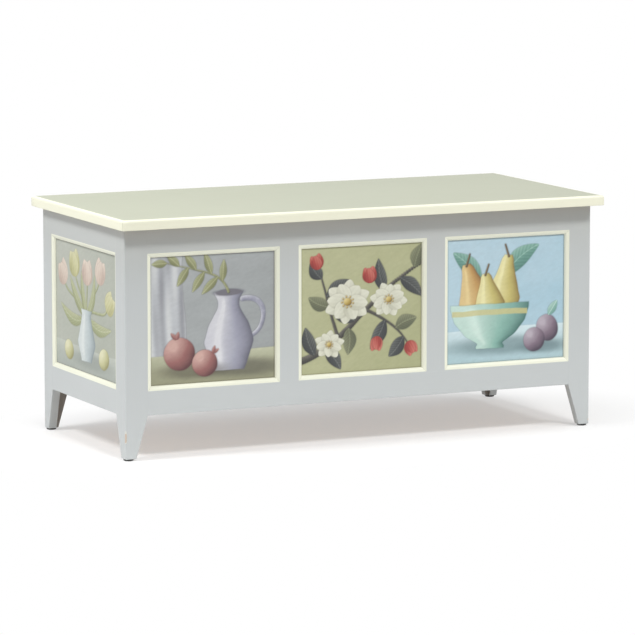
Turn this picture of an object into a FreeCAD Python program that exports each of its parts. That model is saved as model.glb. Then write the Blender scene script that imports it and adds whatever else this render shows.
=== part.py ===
import FreeCAD, Part
import os
import re

# Blanket chest on tapered legs: a framed carcass with picture panels under a hinged, lipped lid.
# Every board is its own object. Lengths are in millimetres, the floor is z = 0, the front faces -Y.

doc = FreeCAD.newDocument("BlanketChest")
sheet = doc.addObject("Spreadsheet::Sheet", "Sizes")

sizes = [
    ("body_length", "1109", "carcass length, outside the end frames"),
    ("body_depth", "467", "carcass depth, front face to back face"),
    ("body_top", "493", "top of the carcass above the floor"),
    ("board_thickness", "19", "thickness of every frame board"),
    ("leg_clearance", "95", "floor to the underside of the bottom rails"),
    ("front_stile_width", "52", "front and back stiles at the knee"),
    ("front_foot_width", "25", "front and back stiles at the floor"),
    ("end_stile_face", "50", "corner to stile edge, seen on the end face"),
    ("end_foot_face", "24", "corner to foot edge, seen on the end face"),
    ("muntin_width", "44", "upright between two panels"),
    ("top_rail_width", "54", "height of the top rails"),
    ("bottom_rail_width", "52", "height of the bottom rails"),
    ("groove_setback", "7", "frame face to the panel groove"),
    ("groove_width", "6", "panel groove, also the panel thickness"),
    ("groove_depth", "8", "depth of the panel groove"),
    ("groove_end_gap", "1", "room left at the bottom of a groove"),
    ("bead_width", "9.5", "panel bead, across its slope"),
    ("bead_lip", "1.5", "bead thickness left at its inner edge"),
    ("lid_thickness", "22", "thickness of the lid"),
    ("lid_front_overhang", "31", "lid beyond the front face"),
    ("lid_side_overhang", "17", "lid beyond each end face"),
    ("lid_back_overhang", "25", "lid beyond the back face"),
    ("lipping_thickness", "6.4", "solid lipping round the lid core"),
    ("lid_arris_radius", "5", "rounding of the lipping's top edge"),
    ("cleat_size", "20", "square cleat under the bottom board"),
    ("cleat_rise", "6", "cleat above the rail underside"),
    ("bottom_thickness", "10", "bottom board"),
    ("bottom_fit_gap", "0.5", "room round the bottom board"),
    ("corner_block_size", "20", "square glue block in each corner"),
    ("corner_block_drop", "25", "top of a glue block below the lid"),
    ("glide_height", "4", "foot glide"),
    ("glide_radius", "11", "foot glide at the wood"),
    ("glide_taper", "1.5", "foot glide narrows by this at the floor"),
    ("glide_inset", "0.5", "glide edge inside the foot faces"),
    ("hinge_length", "76", "butt hinge along the pin"),
    ("hinge_position_share", "0.3", "hinge middle from the chest middle, of the carcass length"),
    ("leaf_width", "18", "hinge leaf, pin centre to leaf edge"),
    ("leaf_thickness", "2", "hinge leaf"),
    ("knuckle_radius", "3.5", "hinge barrel"),
    ("hinge_clearance", "0.3", "barrel off the wood, and between knuckles"),
    ("pin_radius", "1.75", "hinge pin"),
    ("pin_fit", "0.05", "running fit of the pin in the knuckles"),
    ("screw_row_share", "0.62", "screw row from the pin, of the leaf width"),
    ("screw_pitch_share", "0.34", "screw spacing, of the hinge length"),
    ("hinge_screw_length", "14", "hinge screw under its head"),
    ("screw_head_radius", "3.4", "screw head"),
    ("screw_head_height", "1.2", "screw head, let in flush"),
    ("screw_shank_radius", "1.7", "screw shank"),
    ("screw_clearance", "0.3", "room round a screw"),
    ("bottom_screw_length", "22", "bottom board screw under its head"),
    ("bottom_screw_share", "0.36", "outer bottom screws from the middle, of the inside length"),
    ("cut_overrun", "2", "cutting shapes run past the wood by this"),
]
for row, (name, value, note) in enumerate(sizes, start=1):
    sheet.set("A%d" % row, note)
    sheet.set("B%d" % row, value)
    sheet.setAlias("B%d" % row, name)
doc.recompute()

words = re.compile(r"\b(" + "|".join(name for name, value, note in sizes) + r")\b")
nodes = {}
tally = {"made": 0}


# Bind one property to an expression written in the sheet's words.
def bind(item, prop, text):
    item.setExpression(prop, words.sub(r"Sizes.\1", text))


# Put an object somewhere, with an optional fixed turn.
def place(item, at, turn=None):
    if turn is not None:
        item.Placement = FreeCAD.Placement(FreeCAD.Vector(), turn)
    for axis, text in zip("xyz", at):
        bind(item, "Placement.Base." + axis, text)


# New object under a plain running name.
def fresh(kind, hint):
    tally["made"] += 1
    return doc.addObject(kind, "%s%03d" % (hint, tally["made"]))


# Square block from its low corner.
def block(hint, at, size):
    item = fresh("Part::Box", hint)
    for prop, text in zip(("Length", "Width", "Height"), size):
        bind(item, prop, text)
    place(item, at)
    return item


# Four-sided solid that changes width over its reach: near = (x from, x to, z from, z to), far alike.
def taper(hint, at, turn, near, far, reach):
    item = fresh("Part::Wedge", hint)
    item.Ymin = 0
    bind(item, "Ymax", reach)
    for prop, text in zip(("Xmin", "Xmax", "Zmin", "Zmax"), near):
        bind(item, prop, text)
    for prop, text in zip(("X2min", "X2max", "Z2min", "Z2max"), far):
        bind(item, prop, text)
    place(item, at, turn)
    return item


# Round rod along a turned z axis.
def rod(hint, at, turn, radius, length):
    item = fresh("Part::Cylinder", hint)
    bind(item, "Radius", radius)
    bind(item, "Height", length)
    place(item, at, turn)
    return item


# Several shapes as one solid.
def join(hint, items):
    item = fresh("Part::MultiFuse", hint)
    item.Shapes = items
    item.Refine = True
    return item


# Several solids kept apart under one name.
def group(hint, items):
    item = fresh("Part::Compound", hint)
    item.Links = items
    return item


# One shape less some others.
def cut(hint, base, tools):
    item = fresh("Part::Cut", hint)
    item.Base = base
    item.Tool = tools[0] if len(tools) == 1 else group(hint + "Tools", tools)
    item.Refine = True
    return item


# Give a finished piece its file name and its side of the chest.
def finish(label, item, side):
    at, turn = side
    place(item, at, turn)
    item.Label = label
    nodes[label] = item


# Turns used below, named by where the piece's own axes end up.
alongX = FreeCAD.Rotation(FreeCAD.Vector(0, 1, 0), 90)
alongY = FreeCAD.Rotation(FreeCAD.Vector(1, 0, 0), -90)
reachUp = FreeCAD.Rotation(FreeCAD.Vector(1, 0, 0), 90)
reachDown = FreeCAD.Rotation(FreeCAD.Vector(1, 0, 0), -90)
reachRight = FreeCAD.Rotation(FreeCAD.Vector(0, 0, 1), FreeCAD.Vector(1, 0, 0), FreeCAD.Vector(0, 1, 0), "XYZ")
reachLeft = FreeCAD.Rotation(FreeCAD.Vector(0, 0, -1), FreeCAD.Vector(-1, 0, 0), FreeCAD.Vector(0, 1, 0), "XYZ")
upright = FreeCAD.Rotation()


def quarter(degrees):
    return FreeCAD.Rotation(FreeCAD.Vector(0, 0, 1), degrees)


# The four sides: each is drawn as seen from outside, x to the right, y inward from its face.
frontY = "(0 - (body_depth - lid_front_overhang + lid_back_overhang) / 2)"
backY = "((body_depth + lid_front_overhang - lid_back_overhang) / 2)"
frontSide = (("0 - body_length / 2", frontY, "0"), quarter(0))
backSide = (("body_length / 2", backY, "0"), quarter(180))
leftSide = (("0 - body_length / 2", backY + " - board_thickness", "0"), quarter(-90))
rightSide = (("body_length / 2", frontY + " + board_thickness", "0"), quarter(90))

longLength = "body_length"
endLength = "(body_depth - 2 * board_thickness)"
endStile = "(end_stile_face - board_thickness)"
endFoot = "(end_foot_face - board_thickness)"
openLow = "(leg_clearance + bottom_rail_width)"
openHigh = "(body_top - top_rail_width)"
openTall = "(body_top - top_rail_width - leg_clearance - bottom_rail_width)"
tongue = "(groove_depth - groove_end_gap)"
longOpen = "((body_length - 2 * front_stile_width - 2 * muntin_width) / 3)"
endOpen = "(body_depth - 2 * end_stile_face)"


# Stile that runs down as a tapered foot, grooved on its inner edge.
def stile(label, side, length, width, foot, first):
    start = "0" if first else f"{length} - {width}"
    upper = block("stileUpper", (start, "0", "leg_clearance"),
                  (width, "board_thickness", "body_top - leg_clearance"))
    low = ("0", foot) if first else (f"{width} - {foot}", width)
    lower = taper("stileFoot", (start, "0", "glide_height"), reachUp,
                  low + ("0 - board_thickness", "0"), ("0", width, "0 - board_thickness", "0"),
                  "leg_clearance - glide_height")
    edge = f"{width} - groove_depth" if first else f"{length} - {width} - cut_overrun"
    groove = block("stileGroove", (edge, "groove_setback", "leg_clearance"),
                   ("groove_depth + cut_overrun", "groove_width", "body_top - leg_clearance + cut_overrun"))
    finish(label, cut("stile", join("stileWhole", [upper, lower]), [groove]), side)


# Rail between two stiles: stub tongues on its ends, a groove on the edge that faces the panels.
def rail(label, side, length, width, low, tall, grooveOnTop, holes=()):
    plain = block("railBoard", (width, "0", low), (f"{length} - 2 * {width}", "board_thickness", tall))
    ends = block("railTongues", (f"{width} - {tongue}", "groove_setback", low),
                 (f"{length} - 2 * {width} + 2 * {tongue}", "groove_width", tall))
    edge = f"{low} + {tall} - groove_depth" if grooveOnTop else f"{low} - cut_overrun"
    groove = block("railGroove", (f"{width} - groove_depth", "groove_setback", edge),
                   (f"{length} - 2 * {width} + 2 * groove_depth", "groove_width", "groove_depth + cut_overrun"))
    finish(label, cut("rail", join("railWhole", [plain, ends]), [groove] + list(holes)), side)


# Muntin between two rails: tongues at both ends, grooves on both edges.
def muntin(label, side, start):
    plain = block("muntinBoard", (start, "0", openLow), ("muntin_width", "board_thickness", openTall))
    ends = block("muntinTongues", (start, "groove_setback", f"{openLow} - {tongue}"),
                 ("muntin_width", "groove_width", f"{openTall} + 2 * {tongue}"))
    grooveSize = ("groove_depth + cut_overrun", "groove_width", f"{openTall} + 2 * groove_depth")
    near = block("muntinGroove", (f"{start} - cut_overrun", "groove_setback", f"{openLow} - groove_depth"), grooveSize)
    far = block("muntinGroove", (f"{start} + muntin_width - groove_depth", "groove_setback",
                                 f"{openLow} - groove_depth"), grooveSize)
    finish(label, cut("muntin", join("muntinWhole", [plain, ends]), [near, far]), side)


# Panel held in the grooves on all four sides.
def panel(label, side, start, wide):
    board = block("panel", (f"{start} - {tongue}", "groove_setback", f"{openLow} - {tongue}"),
                  (f"{wide} + 2 * {tongue}", "groove_width", f"{openTall} + 2 * {tongue}"))
    finish(label, group("panelBoard", [board]), side)


# Four mitred strips that slope from the frame face down to the panel.
def bead(label, side, start, wide):
    slope = "(groove_setback - bead_lip)"
    forward = ("0", "groove_setback")
    inner = (slope, "groove_setback")
    level = ("0", wide)
    levelIn = ("bead_width", f"{wide} - bead_width")
    plumb = ("0", openTall)
    plumbIn = ("bead_width", f"{openTall} - bead_width")
    bottom = taper("beadBottom", (start, "0", openLow), reachUp, level + ("0 - groove_setback", "0"),
                   levelIn + ("0 - groove_setback", f"0 - {slope}"), "bead_width")
    top = taper("beadTop", (start, "0", openHigh), reachDown, level + forward, levelIn + inner, "bead_width")
    left = taper("beadLeft", (start, "0", openLow), reachRight, plumb + forward, plumbIn + inner, "bead_width")
    right = taper("beadRight", (f"{start} + {wide}", "0", openHigh), reachLeft,
                  plumb + forward, plumbIn + inner, "bead_width")
    finish(label, group("bead", [bottom, top, left, right]), side)


# Front frame: three picture openings.
stile("front_left_stile", frontSide, longLength, "front_stile_width", "front_foot_width", True)
stile("front_right_stile", frontSide, longLength, "front_stile_width", "front_foot_width", False)
rail("front_bottom_rail", frontSide, longLength, "front_stile_width", "leg_clearance", "bottom_rail_width", True)
rail("front_top_rail", frontSide, longLength, "front_stile_width", openHigh, "top_rail_width", False)
for number, where in enumerate(("left", "centre", "right")):
    begin = f"(front_stile_width + {number} * ({longOpen} + muntin_width))"
    panel(f"front_{where}_panel", frontSide, begin, longOpen)
    bead(f"front_{where}_bead", frontSide, begin, longOpen)
muntin("front_left_muntin", frontSide, f"(front_stile_width + {longOpen})")
muntin("front_right_muntin", frontSide, f"(front_stile_width + 2 * {longOpen} + muntin_width)")

# End frames: they stand between the front and back frames, so their stiles are narrower by one board.
for word, side, names in (("left", leftSide, ("back", "front")), ("right", rightSide, ("front", "back"))):
    stile(f"{word}_end_{names[0]}_stile", side, endLength, endStile, endFoot, True)
    stile(f"{word}_end_{names[1]}_stile", side, endLength, endStile, endFoot, False)
    rail(f"{word}_end_bottom_rail", side, endLength, endStile, "leg_clearance", "bottom_rail_width", True)
    rail(f"{word}_end_top_rail", side, endLength, endStile, openHigh, "top_rail_width", False)
    panel(f"{word}_end_panel", side, endStile, endOpen)
    bead(f"{word}_end_bead", side, endStile, endOpen)

# Hinge geometry, drawn on the back side: the pin runs just behind the back face, just under the lid.
pinOut = "(0 - knuckle_radius - hinge_clearance)"
pinHigh = "(body_top - knuckle_radius - hinge_clearance)"
knuckle = "(hinge_length / 5)"
hingeMiddles = ("(body_length / 2 - hinge_position_share * body_length)",
                "(body_length / 2 + hinge_position_share * body_length)")
boltHole = "screw_shank_radius + screw_clearance"
headHole = "screw_head_radius + screw_clearance"


# Screw places along one hinge, in the direction of the pin.
def screwSpots(middle):
    return [f"{middle} + {step} * screw_pitch_share * hinge_length" for step in (-1, 0, 1)]


# Flush-headed screw driven inward along y, its head face at the given y.
def frameScrew(x, face, z):
    head = rod("screwHead", (x, face, z), alongY, "screw_head_radius", "screw_head_height")
    shank = rod("screwShank", (x, face, z), alongY, "screw_shank_radius", "screw_head_height + hinge_screw_length")
    return join("screw", [head, shank])


# Flush-headed screw driven up, its head face at the given z.
def lidScrew(x, y, face):
    head = rod("screwHead", (x, y, face), upright, "screw_head_radius", "screw_head_height")
    shank = rod("screwShank", (x, y, face), upright, "screw_shank_radius", "screw_head_height + hinge_screw_length")
    return join("screw", [head, shank])


frameRow = f"({pinHigh} - screw_row_share * leaf_width)"
lidRow = f"({pinOut} - screw_row_share * leaf_width)"
frameFace = "(0 - leaf_thickness)"
lidFace = "(body_top - leaf_thickness)"
frameScrews = []
lidScrews = []
frameHoles = []
lidHoles = []
for word, middle in zip(("right", "left"), hingeMiddles):
    start = f"{middle} - hinge_length / 2"
    tab = "(knuckle_radius + hinge_clearance)"
    # Fixed leaf: upright on the back rail, with the first, third and fifth knuckles.
    solids = [block("leaf", (start, frameFace, f"{pinHigh} - leaf_width"),
                    ("hinge_length", "leaf_thickness", f"leaf_width - {tab}"))]
    for step in (0, 2, 4):
        left = f"{start} + {step} * {knuckle}"
        wide = f"{knuckle} - hinge_clearance" if step < 4 else knuckle
        solids.append(block("leafTab", (left, frameFace, f"{pinHigh} - leaf_width"),
                            (wide, "leaf_thickness", "leaf_width")))
        solids.append(rod("knuckle", (left, pinOut, pinHigh), alongX, "knuckle_radius", wide))
    bore = rod("pinBore", (f"{start} - cut_overrun", pinOut, pinHigh), alongX, "pin_radius + pin_fit",
               "hinge_length + 2 * cut_overrun")
    holes = [bore]
    for spot in screwSpots(middle):
        holes.append(rod("headHole", (spot, f"{frameFace} - cut_overrun", frameRow), alongY, headHole,
                         "cut_overrun + screw_head_height"))
        holes.append(rod("shankHole", (spot, f"{frameFace} - cut_overrun", frameRow), alongY, boltHole,
                         "2 * cut_overrun + leaf_thickness"))
        frameScrews.append(frameScrew(spot, frameFace, frameRow))
        frameHoles.append(rod("railHole", (spot, "0 - cut_overrun", frameRow), alongY, boltHole,
                              "cut_overrun + hinge_screw_length + screw_clearance"))
    finish(f"{word}_hinge_fixed_leaf", cut("fixedLeaf", join("fixedLeafWhole", solids), holes), backSide)
    # Moving leaf: flat under the lid, with the second and fourth knuckles.
    solids = [block("leaf", (start, f"{pinOut} - leaf_width", lidFace),
                    ("hinge_length", f"leaf_width - {tab}", "leaf_thickness"))]
    for step in (1, 3):
        left = f"{start} + {step} * {knuckle}"
        wide = f"{knuckle} - hinge_clearance"
        solids.append(block("leafTab", (left, f"{pinOut} - leaf_width", lidFace), (wide, "leaf_width", "leaf_thickness")))
        solids.append(rod("knuckle", (left, pinOut, pinHigh), alongX, "knuckle_radius", wide))
    bore = rod("pinBore", (f"{start} - cut_overrun", pinOut, pinHigh), alongX, "pin_radius + pin_fit",
               "hinge_length + 2 * cut_overrun")
    holes = [bore]
    for spot in screwSpots(middle):
        holes.append(rod("headHole", (spot, lidRow, f"{lidFace} - cut_overrun"), upright, headHole,
                         "cut_overrun + screw_head_height"))
        holes.append(rod("shankHole", (spot, lidRow, f"{lidFace} - cut_overrun"), upright, boltHole,
                         "2 * cut_overrun + leaf_thickness"))
        lidScrews.append(lidScrew(spot, lidRow, lidFace))
        lidHoles.append(rod("lidHole", (spot, lidRow, "body_top - cut_overrun"), upright, boltHole,
                            "cut_overrun + hinge_screw_length + screw_clearance"))
    finish(f"{word}_hinge_moving_leaf", cut("movingLeaf", join("movingLeafWhole", solids), holes), backSide)
    pin = rod("pin", (start, pinOut, pinHigh), alongX, "pin_radius", "hinge_length")
    finish(f"{word}_hinge_pin", group("pinGroup", [pin]), backSide)
finish("hinge_frame_screws", group("frameScrews", frameScrews), backSide)
finish("hinge_lid_screws", group("lidScrews", lidScrews), backSide)

# Back frame: three plain panels, its top rail bored for the hinge screws.
stile("back_right_stile", backSide, longLength, "front_stile_width", "front_foot_width", True)
stile("back_left_stile", backSide, longLength, "front_stile_width", "front_foot_width", False)
rail("back_bottom_rail", backSide, longLength, "front_stile_width", "leg_clearance", "bottom_rail_width", True)
rail("back_top_rail", backSide, longLength, "front_stile_width", openHigh, "top_rail_width", False, frameHoles)
for number, where in enumerate(("right", "centre", "left")):
    panel(f"back_{where}_panel", backSide, f"(front_stile_width + {number} * ({longOpen} + muntin_width))", longOpen)
muntin("back_right_muntin", backSide, f"(front_stile_width + {longOpen})")
muntin("back_left_muntin", backSide, f"(front_stile_width + 2 * {longOpen} + muntin_width)")

# Bottom board on four cleats, screwed down from inside. Drawn on the front side.
insideLong = "(body_length - 2 * board_thickness)"
insideDeep = "(body_depth - 2 * board_thickness)"
cleatLow = "(leg_clearance + cleat_rise)"
boardLow = "(leg_clearance + cleat_rise + cleat_size)"
boardTop = "(leg_clearance + cleat_rise + cleat_size + bottom_thickness)"
screws = []
boltTools = []
headTools = []
middleX = "body_length / 2"
nearRow = "(board_thickness + cleat_size / 2)"
farRow = "(body_depth - board_thickness - cleat_size / 2)"
spots = [(f"{middleX} + {step} * bottom_screw_share * {insideLong}", row)
         for row in (nearRow, farRow) for step in (-1, 0, 1)]
spots += [("board_thickness + cleat_size / 2", "body_depth / 2"),
          ("body_length - board_thickness - cleat_size / 2", "body_depth / 2")]
for x, y in spots:
    head = rod("screwHead", (x, y, f"{boardTop} - screw_head_height"), upright, "screw_head_radius", "screw_head_height")
    shank = rod("screwShank", (x, y, f"{boardTop} - screw_head_height - bottom_screw_length"), upright,
                "screw_shank_radius", "bottom_screw_length + screw_head_height")
    screws.append(join("screw", [head, shank]))
    boltTools.append(rod("boltHole", (x, y, f"{boardTop} - screw_head_height - bottom_screw_length - screw_clearance"),
                         upright, boltHole, "bottom_screw_length + screw_head_height + cut_overrun"))
    headTools.append(rod("headHole", (x, y, f"{boardTop} - screw_head_height"), upright, headHole,
                         "screw_head_height + cut_overrun"))
finish("bottom_screws", group("bottomScrews", screws), frontSide)
board = block("bottomBoard", ("board_thickness + bottom_fit_gap", "board_thickness + bottom_fit_gap", boardLow),
              (f"{insideLong} - 2 * bottom_fit_gap", f"{insideDeep} - 2 * bottom_fit_gap", "bottom_thickness"))
finish("bottom_board", cut("bottom", board, boltTools + headTools), frontSide)
cleats = {
    "front_cleat": (("board_thickness", "board_thickness", cleatLow), (insideLong, "cleat_size", "cleat_size"), (0, 1, 2)),
    "back_cleat": (("board_thickness", "body_depth - board_thickness - cleat_size", cleatLow),
                   (insideLong, "cleat_size", "cleat_size"), (3, 4, 5)),
    "left_end_cleat": (("board_thickness", "board_thickness + cleat_size", cleatLow),
                       ("cleat_size", f"{insideDeep} - 2 * cleat_size", "cleat_size"), (6,)),
    "right_end_cleat": (("body_length - board_thickness - cleat_size", "board_thickness + cleat_size", cleatLow),
                        ("cleat_size", f"{insideDeep} - 2 * cleat_size", "cleat_size"), (7,)),
}
for label, (at, size, picks) in cleats.items():
    strip = block("cleat", at, size)
    finish(label, cut("cleatBored", strip, [boltTools[pick] for pick in picks]), frontSide)

# Glue blocks stand on the bottom board in the four corners.
blocks = []
for x in ("board_thickness", "body_length - board_thickness - corner_block_size"):
    for y in ("board_thickness", "body_depth - board_thickness - corner_block_size"):
        blocks.append(block("cornerBlock", (x, y, boardTop),
                            ("corner_block_size", "corner_block_size", f"body_top - corner_block_drop - {boardTop}")))
finish("corner_blocks", group("cornerBlocks", blocks), frontSide)

# A glide under each foot, narrower at the floor.
glides = []
glideIn = "(glide_radius + glide_inset)"
for x in (glideIn, f"body_length - {glideIn}"):
    for y in (glideIn, f"body_depth - {glideIn}"):
        glide = fresh("Part::Cone", "glide")
        bind(glide, "Radius1", "glide_radius - glide_taper")
        bind(glide, "Radius2", "glide_radius")
        bind(glide, "Height", "glide_height")
        place(glide, (x, y, "0"))
        glides.append(glide)
finish("foot_glides", group("footGlides", glides), frontSide)

# Lid core, drawn on the back side so that its screw holes follow the hinges.
core = block("lidCore", ("lipping_thickness - lid_side_overhang", "lipping_thickness - lid_back_overhang", "body_top"),
             ("body_length + 2 * lid_side_overhang - 2 * lipping_thickness",
              "body_depth + lid_front_overhang + lid_back_overhang - 2 * lipping_thickness", "lid_thickness"))
finish("lid_core", cut("lidCoreBored", core, lidHoles), backSide)


# Mitred lipping strip with a rounded top edge.
def lipping(label, length, side):
    body = doc.addObject("PartDesign::Body", "lipping_" + label)
    strip = body.newObject("PartDesign::AdditiveWedge", "strip_" + label)
    strip.Xmin = 0
    strip.Ymin = 0
    strip.Zmin = 0
    strip.Z2min = 0
    bind(strip, "Xmax", length)
    bind(strip, "Ymax", "lipping_thickness")
    bind(strip, "Zmax", "lid_thickness")
    bind(strip, "Z2max", "lid_thickness")
    bind(strip, "X2min", "lipping_thickness")
    bind(strip, "X2max", f"{length} - lipping_thickness")
    doc.recompute()
    top = strip.Shape.BoundBox.ZMax
    found = 0
    for number, edge in enumerate(strip.Shape.Edges, start=1):
        ends = [vertex.Point for vertex in edge.Vertexes]
        if all(abs(point.y) < 1e-6 and abs(point.z - top) < 1e-6 for point in ends):
            found = number
    arris = body.newObject("PartDesign::Fillet", "arris_" + label)
    arris.Base = (strip, ["Edge%d" % found])
    bind(arris, "Radius", "lid_arris_radius")
    body.Tip = arris
    finish(label, body, side)


lidLong = "(body_length + 2 * lid_side_overhang)"
lidDeep = "(body_depth + lid_front_overhang + lid_back_overhang)"
lipping("lid_front_lipping", lidLong, ((f"0 - {lidLong} / 2", f"0 - {lidDeep} / 2", "body_top"), quarter(0)))
lipping("lid_back_lipping", lidLong, ((f"{lidLong} / 2", f"{lidDeep} / 2", "body_top"), quarter(180)))
lipping("lid_left_lipping", lidDeep, ((f"0 - {lidLong} / 2", f"{lidDeep} / 2", "body_top"), quarter(-90)))
lipping("lid_right_lipping", lidDeep, ((f"{lidLong} / 2", f"0 - {lidDeep} / 2", "body_top"), quarter(90)))

doc.recompute()

# Nothing is written unless every object and every shape is sound.
for item in doc.Objects:
    if "Invalid" in item.State or "Error" in item.State:
        raise RuntimeError("not sound: " + item.Name)
for label, item in nodes.items():
    if not item.Shape.isValid() or not item.Shape.Solids:
        raise RuntimeError("bad shape: " + label)

os.makedirs("parts", exist_ok=True)
for label, item in nodes.items():
    item.Shape.exportStep("parts/%s.step" % label)
    box = item.Shape.BoundBox
    print("%-26s solids %2d  volume %10.0f  x %7.1f %7.1f  y %7.1f %7.1f  z %6.1f %6.1f" % (
        label, len(item.Shape.Solids), item.Shape.Volume,
        box.XMin, box.XMax, box.YMin, box.YMax, box.ZMin, box.ZMax))
print("pieces", len(nodes))
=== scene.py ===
import math
from types import SimpleNamespace
import bpy
import numpy as np
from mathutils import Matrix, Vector


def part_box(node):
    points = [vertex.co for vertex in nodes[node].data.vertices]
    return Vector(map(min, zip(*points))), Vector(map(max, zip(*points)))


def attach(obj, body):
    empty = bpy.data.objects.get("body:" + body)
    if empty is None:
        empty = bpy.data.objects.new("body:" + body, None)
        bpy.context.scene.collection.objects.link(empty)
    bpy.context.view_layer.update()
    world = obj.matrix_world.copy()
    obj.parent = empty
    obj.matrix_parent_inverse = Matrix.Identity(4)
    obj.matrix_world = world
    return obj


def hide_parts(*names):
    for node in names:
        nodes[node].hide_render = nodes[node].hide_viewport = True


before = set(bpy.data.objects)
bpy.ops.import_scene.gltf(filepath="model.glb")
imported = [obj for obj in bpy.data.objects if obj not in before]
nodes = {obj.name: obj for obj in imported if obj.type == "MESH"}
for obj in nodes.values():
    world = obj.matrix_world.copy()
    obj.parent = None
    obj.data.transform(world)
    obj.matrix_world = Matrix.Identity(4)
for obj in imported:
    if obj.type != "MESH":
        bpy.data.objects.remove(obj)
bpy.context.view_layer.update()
print("frame loaded,", len(nodes), "nodes")


# low and high corner of a node
def boxOf(node):
    return np.array(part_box(node))


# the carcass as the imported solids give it, in metres
leftFace, frontFace = boxOf("front_left_stile")[0, :2]
boardThick = boxOf("front_left_stile")[1, 1] - frontFace
bodyTop = boxOf("front_left_stile")[1, 2]
rightFace = boxOf("front_right_stile")[1, 0]
backFace = boxOf("back_left_stile")[1, 1]
kneeHeight = boxOf("front_bottom_rail")[0, 2]       # underside of the bottom rails, where the feet begin
bottomTop = boxOf("bottom_board")[1, 2]
glideTop = boxOf("foot_glides")[1, 2]
frontLength = rightFace - leftFace
endLength = backFace - frontFace - 2 * boardThick


# screen colour 0..255 to the linear colour that shaders use
def tone(red, green, blue):
    c = np.array([red, green, blue], float) / 255.0
    return np.where(c <= 0.04045, c / 12.92, ((c + 0.055) / 1.055) ** 2.4)


# same, as four numbers for a colour socket
def paint(red, green, blue):
    return tuple(float(v) for v in tone(red, green, blue)) + (1.0,)


# cubic ease of 0..1
def ease(t):
    return t * t * (3.0 - 2.0 * t)


# eased step: 0 below -edge, 1 above edge
def softStep(value, edge):
    return ease(np.clip(value / edge * 0.5 + 0.5, 0.0, 1.0))


# smooth noise 0..1: seeded numbers on a whole-number grid, eased between the grid points
def smoothNoise(x, y, seed, cells=64):
    table = np.random.default_rng(seed).random((cells, cells))
    column, row = np.floor(x).astype(int), np.floor(y).astype(int)
    shareX, shareY = ease(x - column), ease(y - row)
    lines = [table[(row + up) % cells, column % cells] * (1 - shareX)
             + table[(row + up) % cells, (column + 1) % cells] * shareX for up in (0, 1)]
    return lines[0] * (1 - shareY) + lines[1] * shareY


# three layers of smooth noise, each twice as fine and half as strong
def layeredNoise(x, y, seed):
    layers = [smoothNoise(x * fine, y * fine, seed + number) / fine for number, fine in enumerate((1, 2, 4))]
    return sum(layers) / 1.75


# quads of a grid with rows x columns points, wrapped where asked
def gridQuads(rows, columns, wrapRows=False, wrapColumns=False):
    index = np.arange(rows * columns).reshape(rows, columns)
    if wrapRows:
        index = np.vstack([index, index[:1]])
    if wrapColumns:
        index = np.hstack([index, index[:, :1]])
    return np.stack([index[:-1, :-1], index[:-1, 1:], index[1:, 1:], index[1:, :-1]], axis=-1).reshape(-1, 4)


# triangles from a middle point to each step round a ring
def fan(middle, ring):
    return np.stack([np.full(len(ring), middle), ring, np.roll(ring, -1)], axis=1)


# closed tube through rings of points, with a fan to the middle of its first and last ring
def closedTube(rings):
    count, around = rings.shape[:2]
    points = np.vstack([rings.reshape(-1, 3), rings[0].mean(axis=0), rings[-1].mean(axis=0)])
    ring = np.arange(around)
    first = fan(count * around, ring)[:, [0, 2, 1]]
    last = fan(count * around + 1, ring + (count - 1) * around)
    return points, [gridQuads(count, around, wrapColumns=True), np.vstack([first, last])]


# the same shape at several places, as one mesh
def repeated(placed, faces):
    shift = len(placed[0]) * np.arange(len(placed))[:, None, None]
    return np.vstack(placed), [(f[None] + shift).reshape(-1, f.shape[1]) for f in faces]


# put points and faces into a new object that rides a body and stands for CAD nodes
# faces is a list of arrays, one for each corner count; values are numbers or colours on the points
def putMesh(points, faces, material, body, slotName, replaced, values, smoothAngle=32.0, name=None):
    name = name or replaced[0].replace("_", "-")
    mesh = bpy.data.meshes.new(name)
    corners = np.concatenate([f.reshape(-1) for f in faces]).astype(np.int32)
    counts = np.concatenate([np.full(len(f), f.shape[1]) for f in faces]).astype(np.int32)
    starts = np.concatenate([[0], np.cumsum(counts)[:-1]]).astype(np.int32)
    flat = np.asarray(points, np.float32).reshape(-1)
    mesh.vertices.add(len(flat) // 3)
    mesh.vertices.foreach_set("co", flat)
    mesh.loops.add(len(corners))
    mesh.loops.foreach_set("vertex_index", corners)
    mesh.polygons.add(len(counts))
    mesh.polygons.foreach_set("loop_start", starts)
    mesh.polygons.foreach_set("loop_total", counts)
    mesh.update(calc_edges=True)
    mesh.validate()
    mesh.shade_smooth()
    mesh.set_sharp_from_angle(angle=math.radians(smoothAngle))
    for label, value in values.items():
        value = np.asarray(value, np.float32)
        if value.ndim == 1:
            mesh.attributes.new(label, "FLOAT", "POINT").data.foreach_set("value", value)
        else:
            laid = np.insert(value, 3, 1.0, axis=1)
            mesh.attributes.new(label, "FLOAT_COLOR", "POINT").data.foreach_set("color", laid.reshape(-1))
    mesh.materials.append(material)
    piece = bpy.data.objects.new(name, mesh)
    bpy.context.collection.objects.link(piece)
    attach(piece, body)
    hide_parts(*replaced)


# shader helpers: a value is a number, a colour or another node's output
def setSocket(tree, socket, value):
    if isinstance(value, bpy.types.NodeSocket):
        tree.links.new(value, socket)
    else:
        socket.default_value = value


def addNode(tree, kind, **settings):
    item = tree.nodes.new(kind)
    for key, value in settings.items():
        if key in item.inputs:
            setSocket(tree, item.inputs[key], value)
        else:
            setattr(item, key, value)
    return item


def calc(tree, operation, *values, clamp=False):
    item = addNode(tree, "ShaderNodeMath", operation=operation, use_clamp=clamp)
    for socket, value in zip(item.inputs, values):
        setSocket(tree, socket, value)
    return item.outputs[0]


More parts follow.
